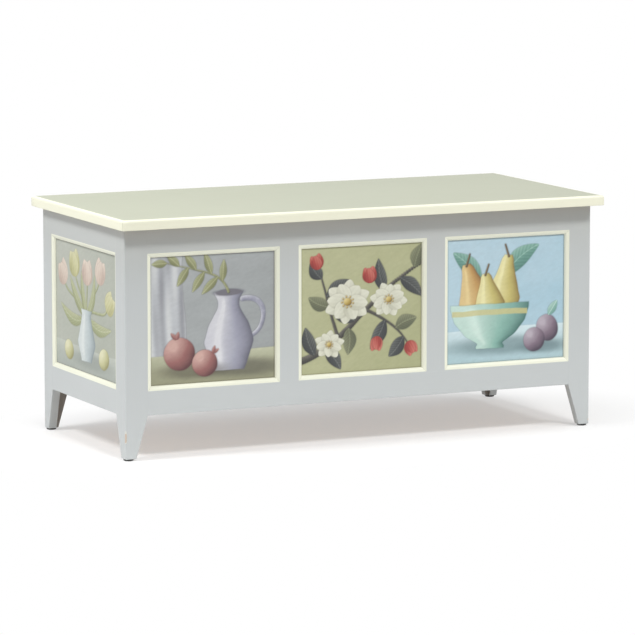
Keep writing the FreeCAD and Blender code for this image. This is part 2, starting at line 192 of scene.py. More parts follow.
# start plus each value times its factor
def sumOf(tree, start, *pairs):
    for value, factor in pairs:
        start = calc(tree, "MULTIPLY_ADD", value, factor, start)
    return start


def blend(tree, amount, first, second, mode="MIX"):
    item = addNode(tree, "ShaderNodeMix", data_type="RGBA", blend_type=mode)
    for place, value in ((0, amount), (6, first), (7, second)):
        setSocket(tree, item.inputs[place], value)
    return item.outputs[2]


# eased step from one range to another
def remap(tree, value, fromLow, fromHigh, toLow=0.0, toHigh=1.0):
    item = addNode(tree, "ShaderNodeMapRange", interpolation_type="SMOOTHSTEP")
    for socket, number in zip(item.inputs, (value, fromLow, fromHigh, toLow, toHigh)):
        setSocket(tree, socket, number)
    return item.outputs[0]


def objectPlace(tree):
    return addNode(tree, "ShaderNodeTexCoord").outputs["Object"]


def placeParts(tree):
    return addNode(tree, "ShaderNodeSeparateXYZ", Vector=objectPlace(tree)).outputs


def attribute(tree, name, output="Fac"):
    return addNode(tree, "ShaderNodeAttribute", attribute_name=name).outputs[output]


def greyOf(tree, level):
    return addNode(tree, "ShaderNodeCombineColor", Red=level, Green=level, Blue=level).outputs[0]


# a colour made darker or lighter by a level about 1
def levelled(tree, colour, level):
    return blend(tree, 1.0, colour, greyOf(tree, level), "MULTIPLY")


# noise with its own scale along each axis
def stretchedNoise(tree, scale, detail, roughness=0.55, where=None):
    where = objectPlace(tree) if where is None else where
    mapped = addNode(tree, "ShaderNodeMapping", Vector=where, Scale=scale).outputs[0]
    return addNode(tree, "ShaderNodeTexNoise", Vector=mapped, Scale=1.0, Detail=detail,
                   Roughness=roughness).outputs["Fac"]


# node group whose inputs are numbers, vectors or colours, by how many numbers their values hold
def newGroup(name, **inputs):
    tree = bpy.data.node_groups.new(name, "ShaderNodeTree")
    kinds = {1: "NodeSocketFloat", 3: "NodeSocketVector", 4: "NodeSocketColor"}
    for label, value in inputs.items():
        kind = kinds[np.size(value)]
        tree.interface.new_socket(name=label, in_out="INPUT", socket_type=kind).default_value = value
    return tree, tree.nodes.new("NodeGroupInput").outputs


# give a group its outputs and join the last values to them
def closeGroup(tree, **results):
    for label in results:
        kind = "NodeSocketColor" if label == "Colour" else "NodeSocketFloat"
        tree.interface.new_socket(name=label, in_out="OUTPUT", socket_type=kind)
    ends = tree.nodes.new("NodeGroupOutput").inputs
    for label, value in results.items():
        tree.links.new(value, ends[label])
    return tree


def useGroup(tree, group, **settings):
    item = addNode(tree, "ShaderNodeGroup", node_tree=group)
    for label, value in settings.items():
        setSocket(tree, item.inputs[label], value)
    return item.outputs


# brushed paint: broad mottle and long strokes shift the colour, the strokes also give the height
def buildBrushGroup():
    tree, ins = newGroup("brushedPaint", Colour=(0.5, 0.5, 0.5, 1), Stroke=(40, 40, 400), Mottle=0.05)
    broad = stretchedNoise(tree, (5, 5, 5), 3.0)
    strokes = stretchedNoise(tree, ins["Stroke"], 5.0, 0.6)
    specks = stretchedNoise(tree, (900, 900, 900), 2.0)
    # 0 where both noises are at their middle
    shift = sumOf(tree, -1.15, (broad, 1.3), (strokes, 1.0))
    return closeGroup(tree, Colour=levelled(tree, ins["Colour"], sumOf(tree, 1.0, (shift, ins["Mottle"]))),
                      Rough=sumOf(tree, 0.34, (strokes, 0.14)), Height=sumOf(tree, strokes, (specks, 0.25)))


# edge wear: the piece's own arris value (1 on a rounded edge) and two noises together pass a limit
def buildWearGroup():
    tree, ins = newGroup("arrisWear", Amount=0.5)
    edge = attribute(tree, "arris")
    patches = stretchedNoise(tree, (38, 38, 26), 5.0, 0.7)
    crumbs = stretchedNoise(tree, (420, 420, 300), 3.0, 0.6)
    passed = sumOf(tree, -1.05, (patches, 0.75), (crumbs, 0.25), (edge, 0.30), (ins["Amount"], 0.25))
    bare, thin = remap(tree, passed, 0.0, 0.05), remap(tree, passed, -0.10, 0.04)
    return closeGroup(tree, Thin=calc(tree, "MULTIPLY", thin, edge, clamp=True),
                      Bare=calc(tree, "MULTIPLY", bare, edge, clamp=True))


pineValues = {
    "light": (214, 182, 140), "dark": (176, 137, 94), "joint": (104, 74, 46),
    "grain": (1.5, 14.0),       # noise scale along and across the grain
    "rings": 60.0,              # growth lines in a metre
    "boards": 9.4,              # glued boards in a metre, in the lid and the bottom
    "fibreHeight": 0.0002,
}


# bare pine: growth lines waved by a noise, fine fibres; glued boards of chance shades with thin joints
def buildPineGroup():
    v = pineValues
    tree, ins = newGroup("barePine", Along=(1.5, 14, 14), Across=(0, 1, 1), Boards=0.0,
                         Light=(0.6, 0.4, 0.2, 1), Dark=(0.4, 0.24, 0.11, 1))
    where = objectPlace(tree)
    dot = addNode(tree, "ShaderNodeVectorMath", operation="DOT_PRODUCT", Vector=where)
    tree.links.new(ins["Across"], dot.inputs[1])
    across = dot.outputs["Value"]
    # board number, its chance value, and the place across the board 0..1
    boards = sumOf(tree, 0.5, (across, ins["Boards"]))
    number = calc(tree, "FLOOR", boards)
    chance = addNode(tree, "ShaderNodeTexWhiteNoise", noise_dimensions="1D", W=number).outputs["Value"]
    place = calc(tree, "FRACT", boards)
    move = calc(tree, "MULTIPLY", chance, 40.0)
    moved = addNode(tree, "ShaderNodeCombineXYZ", X=move, Y=move, Z=move).outputs[0]
    mapped = addNode(tree, "ShaderNodeMapping", Vector=where, Scale=ins["Along"], Location=moved).outputs[0]
    warp = addNode(tree, "ShaderNodeTexNoise", Vector=mapped, Scale=0.5, Detail=2.0).outputs["Fac"]
    rings = calc(tree, "FRACT", sumOf(tree, 0.0, (across, v["rings"]), (warp, 10.0)))
    ringEdge = remap(tree, rings, 0.30, 0.98)
    fibres = stretchedNoise(tree, (4, 26, 26), 5.0, 0.65, mapped)
    mix = sumOf(tree, 0.0, (ringEdge, 0.36), (fibres, 0.42), (chance, 0.18))
    colour = blend(tree, mix, ins["Light"], ins["Dark"])
    edge = calc(tree, "MINIMUM", place, calc(tree, "SUBTRACT", 1.0, place))
    joint = remap(tree, edge, 0.0, 0.006, 0.6, 0.0)
    return closeGroup(tree, Colour=blend(tree, joint, colour, paint(*v["joint"])),
                      Rough=sumOf(tree, 0.52, (fibres, 0.2)), Height=sumOf(tree, fibres, (ringEdge, 0.4)))


# 1 where a point lies within a box, 0 elsewhere
def insideBox(tree, low, high):
    parts = placeParts(tree)
    total = 1.0
    for test, planes in (("GREATER_THAN", low), ("LESS_THAN", high)):
        for part, plane in zip(parts, planes):
            total = calc(tree, "MULTIPLY", calc(tree, test, part, float(plane)), total)
    return total


# Well is 1 within the panels' middles and above the bottom board, Leg on the boards' inner faces below it
def buildInsideGroup():
    tree = newGroup("insideFace")[0]
    slack = 0.0006
    middle = {name: boxOf(name).mean(axis=0)
              for name in ("left_end_panel", "right_end_panel", "front_left_panel", "back_left_panel")}
    well = insideBox(tree, (middle["left_end_panel"][0], middle["front_left_panel"][1], bottomTop - slack),
                     (middle["right_end_panel"][0], middle["back_left_panel"][1], bodyTop - slack))
    inner = boardThick - slack
    leg = insideBox(tree, (leftFace + inner, frontFace + inner, -slack),
                    (rightFace - inner, backFace - inner, bottomTop - slack))
    return closeGroup(tree, Well=well, Leg=leg)


brushGroup = buildBrushGroup()
wearGroup = buildWearGroup()
pineGroup = buildPineGroup()
insideGroup = buildInsideGroup()


def newMaterial(name):
    material = bpy.data.materials.new(name)
    material.use_nodes = True
    return material, material.node_tree


# colour, roughness and a bump of the given rise, joined to the material's shader
def finishMaterial(tree, colour, rough, height, rise, strength=0.5):
    shader = tree.nodes["Principled BSDF"].inputs
    bump = addNode(tree, "ShaderNodeBump", Height=height, Distance=rise, Strength=strength)
    for label, value in (("Base Color", colour), ("Roughness", rough), ("Normal", bump.outputs[0])):
        setSocket(tree, shader[label], value)


paintValues = {
    "carcass": (190, 194, 194),                             # pale blue-grey coat
    "undercoat": (214, 212, 203),                           # paler coat where the top one is thin
    "bareWood": (168, 132, 102), "bareShare": 0.6,          # wood where both are gone
    "underLidShade": (150, 145, 120), "underLidShadeShare": 0.14,       # painted shade towards the lid, warm grey
    "underLidShadeReach": (0.33, 0.46),                           # heights where the painted shade comes in
    "thinCoatAndShade": (128, 118, 108), "thinCoatAndShadeShare": 0.75,         # one thin coat over the wood behind the legs, darkened and browned as painted shade
    "seam": (84, 80, 66), "seamShade": 0.45,                # darker line at a mitre
    "cream": (233, 234, 216),                               # beads
    "lipping": (239, 238, 216),                             # edges of the lid
    "sage": (169, 173, 151),                                # lid
    "wear": 0.2, "mottle": 0.05, "creamMottle": 0.03,
    "stroke": (14, 420), "lidStroke": (10, 260),            # noise scale along and across the brush
    "strokeHeight": 0.00006, "pictureHeight": 0.00012,
}


# one scale along an axis and another across it
def alongAxis(axis, along, across):
    return tuple(along if number == axis else across for number in range(3))


# pine with its grain along one axis; boards is the number of glued boards in a metre, 0 for one piece
def usePine(tree, axis, boards=0.0):
    v = pineValues
    return useGroup(tree, pineGroup, Along=alongAxis(axis, *v["grain"]), Across=alongAxis(axis, 0.0, 1.0),
                    Boards=boards, Light=paint(*v["light"]), Dark=paint(*v["dark"]))


# painted board: brushed coat, worn at its arrises and dark at its mitres
# with a pine axis it is a carcass board: greyer towards the lid as painted shade, thinly brushed and darkened
# with painted shade behind the legs, bare pine inside
def paintedWood(name, coat, stroke, mottle, wear=0.0, pineAxis=None):
    v = paintValues
    material, tree = newMaterial(name)
    coatOut = useGroup(tree, brushGroup, Colour=paint(*v[coat]), Stroke=stroke, Mottle=v[mottle])
    wearOut = useGroup(tree, wearGroup, Amount=wear)
    colour, rough = coatOut["Colour"], coatOut["Rough"]
    layers = [(wearOut["Thin"], 1.0, "undercoat"), (wearOut["Bare"], v["bareShare"], "bareWood"),
              (attribute(tree, "seam"), v["seamShade"], "seam")]
    if pineAxis is not None:
        facing = useGroup(tree, insideGroup)
        # painted shade: boards turn greyer towards the lid, as under its overhang
        high = remap(tree, placeParts(tree)[2], *v["underLidShadeReach"])
        # a thin coat on the legs' inner faces, with painted shade darkening it
        layers += [(high, v["underLidShadeShare"], "underLidShade"), (facing["Leg"], v["thinCoatAndShadeShare"], "thinCoatAndShade")]
    for cover, share, over in layers:
        colour = blend(tree, calc(tree, "MULTIPLY", cover, share), colour, paint(*v[over]))
    if pineAxis is not None:
        colour = blend(tree, facing["Well"], colour, usePine(tree, pineAxis)["Colour"])
        rough = sumOf(tree, rough, (facing["Well"], 0.15))
    finishMaterial(tree, colour, rough, coatOut["Height"], v["strokeHeight"], 0.6)
    return material


# lid: sage coat on top, bare pine below, told apart by height in the lid's own coordinates
def lidPaint():
    v = paintValues
    material, tree = newMaterial("sageLidPaint")
    top = useGroup(tree, brushGroup, Colour=paint(*v["sage"]), Stroke=alongAxis(0, *v["lidStroke"]),
                   Mottle=v["mottle"])
    under = calc(tree, "LESS_THAN", placeParts(tree)[2], float(bodyTop) + 0.001)
    below = usePine(tree, 0, pineValues["boards"])["Colour"]
    colour = blend(tree, under, top["Colour"], below)
    finishMaterial(tree, colour, top["Rough"], top["Height"], v["strokeHeight"])
    return material


def pineBoard(name, axis, boards=0.0):
    material, tree = newMaterial(name)
    pine = usePine(tree, axis, boards)
    finishMaterial(tree, pine["Colour"], pine["Rough"], pine["Height"], pineValues["fibreHeight"])
    return material


# bright and browned brass, dark and scuffed plastic, and the heights of their grain
hardwareValues = {
    "hingeBrass": ((196, 172, 116), (130, 104, 66)), "screwBrass": ((190, 166, 112), (118, 94, 60)),
    "blackGlidePlastic": ((34, 33, 32), (72, 68, 62)), "brushHeight": 0.00002, "plasticHeight": 0.00003,
}


# brass: brushed along the pin, browned where it is seldom rubbed
def brassMetal(name):
    bright, brown = hardwareValues[name]
    material, tree = newMaterial(name)
    brushed = stretchedNoise(tree, (60, 1500, 1500), 3.0)
    stain = remap(tree, stretchedNoise(tree, (70, 70, 70), 5.0, 0.7), 0.42, 0.72)
    tree.nodes["Principled BSDF"].inputs["Metallic"].default_value = 1.0
    finishMaterial(tree, blend(tree, stain, paint(*bright), paint(*brown)),
                   sumOf(tree, 0.2, (brushed, 0.16), (stain, 0.2)), brushed, hardwareValues["brushHeight"])
    return material


# glide plastic: fine grain, paler where the floor has scuffed it
def glidePlastic(name):
    dark, scuffed = hardwareValues[name]
    material, tree = newMaterial(name)
    grain = stretchedNoise(tree, (1400, 1400, 1400), 3.0)
    scuff = remap(tree, stretchedNoise(tree, (160, 160, 60), 5.0, 0.7), 0.5, 0.75)
    finishMaterial(tree, blend(tree, scuff, paint(*dark), paint(*scuffed)),
                   sumOf(tree, 0.45, (scuff, 0.25)), grain, hardwareValues["plasticHeight"])
    return material


# picture: the colours laid on the piece's own points, under a thin satin varnish; bare pine behind
def picturePaint():
    material, tree = newMaterial("picturePaint")
    weave = stretchedNoise(tree, (700, 700, 700), 3.0)
    sweep = stretchedNoise(tree, (90, 90, 160), 5.0, 0.65)
    colour = levelled(tree, attribute(tree, "laidColour", "Color"), sumOf(tree, 0.95, (sweep, 0.10)))
    colour = blend(tree, attribute(tree, "rear"), colour, usePine(tree, 2)["Colour"])
    finishMaterial(tree, colour, sumOf(tree, 0.36, (sweep, 0.2)), sumOf(tree, sweep, (weave, 0.5)),
                   paintValues["pictureHeight"])
    return material


ways = {"Level": 0, "Deep": 1, "Upright": 2}        # the axis along which a board runs
carcassPaint, pine = {}, {}
for way, axis in ways.items():
    stroke = alongAxis(axis, *paintValues["stroke"])
    carcassPaint[way] = paintedWood("carcassPaint" + way, "carcass", stroke, "mottle",
                                    paintValues["wear"], axis)
    pine[way] = pineBoard("pine" + way, axis)
creamBead = paintedWood("creamBeadPaint", "cream", (60, 60, 60), "creamMottle")
creamLipping = paintedWood("creamLippingPaint", "lipping", (30, 200, 300), "creamMottle")
sageLid = lidPaint()
pineBottom = pineBoard("pineBottom", ways["Level"], pineValues["boards"])
hingeBrass = brassMetal("hingeBrass")
screwBrass = brassMetal("screwBrass")
blackGlide = glidePlastic("blackGlidePlastic")
panelPaint = picturePaint()
print("materials made")

# CAD nodes that keep their own mesh take the first material whose words are all in their name
dressing = (("lid_core", sageLid), ("screws", screwBrass), ("hinge", hingeBrass),
            ("corner_blocks", pine["Upright"]), ("_end_ cleat", pine["Deep"]), ("cleat", pine["Level"]),
            ("bottom_board", pineBottom), ("muntin", carcassPaint["Upright"]),
            ("stile", carcassPaint["Upright"]), ("back_ panel", carcassPaint["Upright"]),
            ("_end_", carcassPaint["Deep"]), ("", carcassPaint["Level"]))
for name, node in nodes.items():
    material = next(coat for words, coat in dressing if all(word in name for word in words.split()))
    node.data.materials.clear()
    node.data.materials.append(material)

# boards: a rectangle with its four corners rounded by their own radii, carried along a line
boardValues = {
    "cornerSteps": 4,                       # points on each rounded corner
    "edgeBands": (0.004, 0.009, 0.016),     # points beside each corner, for the wear to fade over
    "bandShares": (0.64, 0.76, 0.88),       # their furthest places, as shares of half a side
    "sharp": 0.00012,                       # corners that close on another board
    "eased": 0.0009,                        # corners that show
    "outerArris": 0.0022,                   # upright corner of the chest
    "wearReach": 0.012, "wearPower": 1.5,
}


# outline points, a row for each station: low and high give the rectangle, radii and eased its four corners
# order of corners: low low, high low, high high, low high; wear fades out beside a corner that is eased
def roundedOutline(lowA, highA, lowB, highB, radii, eased):
    v = boardValues
    turns = np.linspace(0.0, 0.5 * math.pi, v["cornerSteps"])
    corners = ((lowA, lowB, 1, 1), (highA, lowB, -1, 1), (highA, highB, -1, -1), (lowA, highB, 1, -1))
    pointsA, pointsB, wear = [], [], []
    for number, (a, b, signA, signB) in enumerate(corners):
        angle = (1.0 + 0.5 * number) * math.pi + turns
        follow = (number + 1) % 4
        nextA, nextB = corners[follow][:2]
        length = np.abs(nextA - a) + np.abs(nextB - b)
        near = np.minimum(v["edgeBands"], 0.5 * length * v["bandShares"])
        along = np.hstack([near, length - near[:, ::-1]])
        pointsA += [a + radii[number] * (signA + np.cos(angle)), a + (nextA - a) / length * along]
        pointsB += [b + radii[number] * (signB + np.sin(angle)), b + (nextB - b) / length * along]
        fades = [eased[corner] * np.clip(1.0 - away / v["wearReach"], 0, 1) ** v["wearPower"]
                 for corner, away in ((number, along), (follow, length - along))]
        wear += [eased[number] + 0 * turns, np.maximum(*fades)]
    return np.hstack(pointsA), np.hstack(pointsB), np.hstack(wear)


# side of the chest as the solids are drawn: origin, axes across, inward and up, length, stiles
def newSide(origin, across, length, *stiles):
    axes = np.array([across, np.cross((0, 0, 1), across), (0, 0, 1)], float)
    side = SimpleNamespace(origin=np.array(origin), axes=axes, length=length, stiles=stiles)
    low, high = boxOn(side, stiles[0])
    side.width = high[0] - low[0]
    return side


# low and high corner of a node in a side's own axes
def boxOn(side, node):
    corners = (boxOf(node) - side.origin) @ side.axes.T
    return corners.min(axis=0), corners.max(axis=0)


def toWorld(side, across, inward, up):
    return side.origin + np.stack(np.broadcast_arrays(across, inward, up), axis=-1) @ side.axes


sides = {
    "front": newSide((leftFace, frontFace, 0), (1, 0, 0), frontLength,
                     "front_left_stile", "front_right_stile"),
    "back": newSide((rightFace, backFace, 0), (-1, 0, 0), frontLength,
                    "back_right_stile", "back_left_stile"),
    "left_end": newSide((leftFace, backFace - boardThick, 0), (0, -1, 0), endLength,
                        "left_end_back_stile", "left_end_front_stile"),
    "right_end": newSide((rightFace, frontFace + boardThick, 0), (0, 1, 0), endLength,
                         "right_end_front_stile", "right_end_back_stile"),
}


def sweptBoard(node, outlines, wear, material):
    points, faces = closedTube(outlines)
    values = {"arris": np.append(wear, [0.0, 0.0])}
    putMesh(points, faces, material, "carcass", "carcass_paint", [node], values)


stileValues = {
    "frontFoot": 0.025, "endFoot": 0.005,               # board width at the floor
    "footEase": 0.0016, "footInset": 0.8,               # rounded edge of the foot: height, share inward
    "footRows": (0, 0.25, 0.6, 1.0),                    # rows on that edge, as shares of its height
    "taper": (0.004, 0.008, 14),                        # taper rows: above the floor, below the knee, number
    "kneeRows": (-0.005, -0.0025, 0.0, 0.0025, 0.005), "kneeEase": 0.003,
    "body": (0.012, 21),                                # rows from above the knee to the top
    "topCover": 0.00004,                                # stands over the tongues of the top rails
    "innerWear": 0.35,                                  # wear of the foot's inner edges, against 1 outside
    "leastWear": 0.55, "wearFade": (0.08, 0.28),        # wear of the upper part, and heights where it fades
    "scuffs": {"front_left_stile": (0.0497, 0.0120), "front_right_stile": (0.014, 0.005),
               "back_left_stile": (0.022, 0.006), "back_right_stile": (0.070, 0.007)},   # height and reach
    "scuffGain": 1.1,
}


# stile: outline carried up; its inner edge runs straight to the knee and then tapers to the foot
def makeStile(node, side, foot, outerCorner):
    v, b = stileValues, boardValues
    above, below, rows = v["taper"]
    bodyGap, bodyRows = v["body"]
    up = np.concatenate([glideTop + np.array(v["footRows"]) * v["footEase"],
                         np.linspace(glideTop + above, kneeHeight - below, rows),
                         kneeHeight + np.array(v["kneeRows"]),
                         np.linspace(kneeHeight + bodyGap, bodyTop + v["topCover"], bodyRows)])[:, None]
    share = np.clip((up - glideTop) / (kneeHeight - glideTop), 0, 1)
    span = foot + (side.width - foot) * share
    rise = np.clip(1.0 - (up - glideTop) / v["footEase"], 0, 1)
    inset = v["footEase"] * (1.0 - np.sqrt(1.0 - rise ** 2)) * v["footInset"]
    exposed = softStep(kneeHeight - up, v["kneeEase"])
    zero = np.zeros_like(up)
    sharp = zero + b["sharp"]
    inner = sharp + (b["eased"] - b["sharp"]) * exposed
    outer = zero + b["outerArris" if outerCorner else "sharp"]
    outerWear, innerWear = zero + float(outerCorner), v["innerWear"] * exposed
    if node == side.stiles[0]:
        start, stop = inset, span - inset
        radii, eased = (outer, inner, inner, sharp), (outerWear, innerWear, innerWear, zero)
    else:
        start, stop = side.length - span + inset, side.length - inset
        radii, eased = (inner, outer, sharp, inner), (innerWear, outerWear, zero, innerWear)
    across, inward, wear = roundedOutline(start, stop, inset, boardThick - inset, radii, eased)
    fullTo, leastFrom = v["wearFade"]
    low = np.clip((leastFrom - up) / (leastFrom - fullTo), 0, 1)
    wear = wear * (v["leastWear"] + (1.0 - v["leastWear"]) * low)
    if node in v["scuffs"]:
        middle, reach = v["scuffs"][node]
        wear = wear * (1.0 + v["scuffGain"] * np.exp(-((up - middle) / reach) ** 2))
    sweptBoard(node, toWorld(side, across, inward, up), wear, carcassPaint["Upright"])


railValues = {"stations": 60, "wear": 0.7}


# bottom rail: outline carried across; only its lower corners show
def makeRail(node, side, material):
    low, high = boxOn(side, node)
    across = np.linspace(side.width, side.length - side.width, railValues["stations"])[:, None]
    zero = np.zeros_like(across)
    sharp, eased = zero + boardValues["sharp"], zero + boardValues["eased"]
    inward, up, wear = roundedOutline(zero, zero + boardThick, zero + low[2], zero + high[2],
                                      (eased, eased, sharp, sharp), (zero + 1, zero + 1, zero, zero))
    sweptBoard(node, toWorld(side, across, inward, up), wear * railValues["wear"], material)


for name, side in sides.items():
    isEnd = name.endswith("_end")
    for node in side.stiles:
        makeStile(node, side, stileValues["endFoot" if isEnd else "frontFoot"], not isEnd)
for name, side in sides.items():
    makeRail(name + "_bottom_rail", side, carcassPaint["Deep" if name.endswith("_end") else "Level"])
print("stiles and bottom rails made")


# rectangle of four mitred runs, anticlockwise from its low corner, with a profile set in from its sides
# seam is 1 at a mitre, where the profile steps in by the notch; the next stations lie close beside it
def mitredRing(low, high, across, steps, reach, notch=0.0):
    runs, seams = [], []
    for number in range(4):
        axis = number % 2
        length = high[axis] - low[axis]
        near = reach / length
        share = np.concatenate([[0.0], np.linspace(near, 1.0 - near, steps[axis])])[:, None]
        seam = (share == 0.0).astype(float)
        deep = across + notch * seam
        walk = deep + (length - 2 * deep) * share
        along = low[axis] + walk if number < 2 else high[axis] - walk
        beside = high[1 - axis] - deep if number in (1, 2) else low[1 - axis] + deep
        runs.append(np.stack([along, beside] if axis == 0 else [beside, along], axis=-1))
        seams.append(seam)
    return np.vstack(runs), np.vstack(seams)


# beads: a small fillet, a hollow quirk and a rounded slope, mitred round the opening
beadValues = {
    "width": 0.0095, "setBack": 0.0002, "fillet": 0.0019, "quirk": 0.0005, "quirkRun": 0.0003,
    "lip": 0.0015, "lipShare": 0.6,
    "roundShare": 0.74,         # slope between a straight line, 0, and a quarter circle, 1
    "slopeSteps": 8, "steps": (26, 26),
    "seamReach": 0.0005,        # half width of the line at a mitre
}


# closed profile: across from the frame edge, in from the frame face, with its share of wear
def beadProfile(depth):
    v = beadValues
    t = np.linspace(0.0, 1.0, v["slopeSteps"])
    curve = (1.0 - v["roundShare"]) * t + v["roundShare"] * (1.0 - np.sqrt(np.clip(1.0 - t ** 2, 0, 1)))
    begin, top = v["fillet"] + v["quirkRun"], v["setBack"] + v["quirk"]
    slopeAcross = begin + (v["width"] - begin - v["quirkRun"]) * t
    slopeIn = top + (depth - v["lip"] - top) * curve
    across = np.concatenate([[0.0, v["fillet"]], slopeAcross, [v["width"], v["width"], 0.0]])
    inward = np.concatenate([[v["setBack"]] * 2, slopeIn, [depth - v["lip"] * v["lipShare"], depth, depth]])
    edge = np.concatenate([[0.3, 0.6, 1.0], np.linspace(1.0, 0.2, v["slopeSteps"] - 1), [0.4, 0, 0]])
    return across, inward, edge


def makeBead(node, side):
    v = beadValues
    low, high = boxOn(side, node)
    across, inward, edge = beadProfile(high[1] - low[1])
    ring, seam = mitredRing(low[[0, 2]], high[[0, 2]], across, v["steps"], v["seamReach"])
    quads = gridQuads(len(ring), len(across), True, True)[:, ::-1]
    values = {"arris": np.tile(edge, len(ring)), "seam": np.repeat(seam, len(across))}
    putMesh(toWorld(side, ring[..., 0], inward, ring[..., 1]), [quads], creamBead, "carcass", "bead_paint",
            [node], values, 40)


for place in ("front_left", "front_centre", "front_right", "left_end", "right_end"):
    makeBead(place + "_bead", sides.get(place, sides["front"]))
print("beads made")

# lid lipping: outer face with a rounded top and an eased foot, mitred round the lid core
lippingValues = {
    "topRound": 0.0050, "footRound": 0.0010, "roundSteps": 6, "topGap": 0.0004,
    "faceRows": (0.008, 0.013, 0.018),          # rows on the face, from the top
    "steps": (70, 34), "seamReach": 0.0007, "notch": 0.0003,    # half width and depth of the line at a mitre
}


def makeLipping():
    v = lippingValues
    names = ["lid_" + place + "_lipping" for place in ("front", "right", "back", "left")]
    boxes = np.array([boxOf(name) for name in names])
    low, high = boxes[:, 0].min(axis=0), boxes[:, 1].max(axis=0)
    thick = boxes[0, 1, 1] - boxes[0, 0, 1]
    turn = np.linspace(0, 0.5 * math.pi, v["roundSteps"])
    top, foot = v["topRound"], v["footRound"]
    # profile: inner top, over the round, down the face, under the eased foot, inner foot
    across = np.concatenate([[thick, top + v["topGap"]], top * (1 - np.sin(turn)), [0.0, 0.0, 0.0],
                             foot * (1 - np.cos(turn)), [thick]])
    up = np.concatenate([[high[2], high[2]], high[2] - top * (1 - np.cos(turn)),
                         high[2] - np.array(v["faceRows"]), low[2] + foot * (1 - np.sin(turn)), [low[2]]])
    edge = np.concatenate([[0.0, 0.5], 0 * turn + 1, [0.4, 0.0, 0.3], 0 * turn + 1, [0.0]])
    ring, seam = mitredRing(low, high, across, v["steps"], v["seamReach"], v["notch"])
    points = np.dstack([ring, np.broadcast_to(up, ring.shape[:2])])
    quads = gridQuads(len(ring), len(across), True, True)
    values = {"arris": np.tile(edge, len(ring)), "seam": np.repeat(seam, len(across))}
    putMesh(points, [quads], creamLipping, "lid", "lipping_paint", names, values, 40, "lid-lipping")


makeLipping()
print("lipping made")

# pictures: still lifes laid with numpy on a dense grid; a shape is an inside value, above 0 within it
# cell, relief, margin and beadShadeAndGrimeReach are in metres, other sizes in heights of the part that shows
# three tones run from dark to pale
pictureValues = {
    "cell": 0.0012,                     # grid step
    "relief": 0.00016,                  # height of the brush ridges
    "margin": 0.0165,                   # hidden in the groove and under the bead
    "edge": 0.0038,                     # softness of a painted edge
    "line": 0.006, "contour": 0.32,     # reach and strength of the darker line round a shape
    "wobble": 0.011,                    # unsteady hand
    "beadShadeAndGrime": 0.45, "beadShadeAndGrimeReach": 0.0019, "beadShadeAndGrimeTone": (74, 62, 48),     # painted shade and grime: darker line beside the bead
}


# grid over the whole panel; x runs 0..wide and y 0..1 over the part that shows, both wavered by the hand
def newPicture(node, side, seed):
    v = pictureValues
    low, high = boxOn(side, node)
    columns, layers, rows = np.round((high - low) / v["cell"]).astype(int) + 1
    across, up = np.meshgrid(np.linspace(low[0], high[0], columns), np.linspace(low[2], high[2], rows))
    tall = high[2] - low[2] - 2 * v["margin"]
    x, y = (across - low[0] - v["margin"]) / tall, (up - low[2] - v["margin"]) / tall
    p = SimpleNamespace(node=node, side=side, seed=seed, across=across, up=up, face=low[1], back=high[1],
                        tall=tall, wide=(high[0] - low[0] - 2 * v["margin"]) / tall, plainX=x, plainY=y,
                        colour=np.zeros(x.shape + (3,)))
    p.x = x + v["wobble"] * uneven(p, x * 7, y * 7, 0)
    p.y = y + v["wobble"] * uneven(p, x * 7 + 9, y * 7 + 5, 3)
    return p


# the picture's own noise, about 0
def uneven(p, x, y, number):
    return layeredNoise(x, y, p.seed + number) - 0.5


# cover the picture with a colour where inside is above 0
def lay(p, inside, colour, opacity=1.0, edge=pictureValues["edge"]):
    cover = softStep(inside, edge) * opacity
    p.colour += (np.asarray(colour) - p.colour) * cover[..., None]


# a darker line along a shape's edge, then the shape itself
def laySolid(p, inside, colour, line):
    lay(p, inside + pictureValues["line"], tone(*line), pictureValues["contour"])
    lay(p, inside, colour)


# colour from one tone to another by a share 0..1
def between(first, second, share):
    return tone(*first) + (tone(*second) - tone(*first)) * share[..., None]


# a shape in three tones by a light value: dark at 0, middle at a half, pale at 1; its line is dark or its own
def layShaded(p, inside, light, tones, line=None):
    dark, middle, pale = tones
    light = np.clip(light, 0.0, 1.0)
    colour = between(dark, middle, np.minimum(light * 2, 1))
    colour += (tone(*pale) - tone(*middle)) * np.maximum(light * 2 - 1, 0)[..., None]
    laySolid(p, inside, colour, line or dark)


# a point's place along the line from foot to tip, as a share of its length, and its distance beside it
def alongBeside(p, foot, tip):
    dx, dy = tip[0] - foot[0], tip[1] - foot[1]
    length = math.hypot(dx, dy)
    px, py = p.x - foot[0], p.y - foot[1]
    return (px * dx + py * dy) / length ** 2, (py * dx - px * dy) / length, length


# distance from a centre over the radii of an oval, 1 on it
def ovalDistance(p, centre, radii):
    return np.hypot((p.x - centre[0]) / radii[0], (p.y - centre[1]) / radii[1])


# the point at a distance and angle from another, on an oval where squash isn't 1
def reachFrom(foot, turn, size, squash=1.0):
    return foot[0] + size * math.cos(turn), foot[1] + size * squash * math.sin(turn)


# backdrop: a slanting change from one colour to another, broken by broad strokes
def layBackdrop(p, first, second, slant=0.5):
    x, y = p.plainX, p.plainY
    share = np.clip(slant * x / p.wide + (1 - slant) * (1 - y), 0, 1)
    share = np.clip(share + 0.5 * uneven(p, x * 5 + y * 3, y * 9 - x * 4, 20), 0, 1)
    p.colour[:] = between(first, second, share)


# table: everything below a line, paler at its far edge
def layTable(p, height, near, far):
    inside = height - p.y + 0.012 * np.sin(p.x * 2.3 + p.seed)
    laySolid(p, inside, between(near, far, np.clip(p.y / height, 0, 1) ** 2), near)


# soft dark oval, for a shadow on the table
def layShadow(p, centre, radii, colour, strength):
    lay(p, 1 - ovalDistance(p, centre, radii), tone(*colour), strength, 0.5)


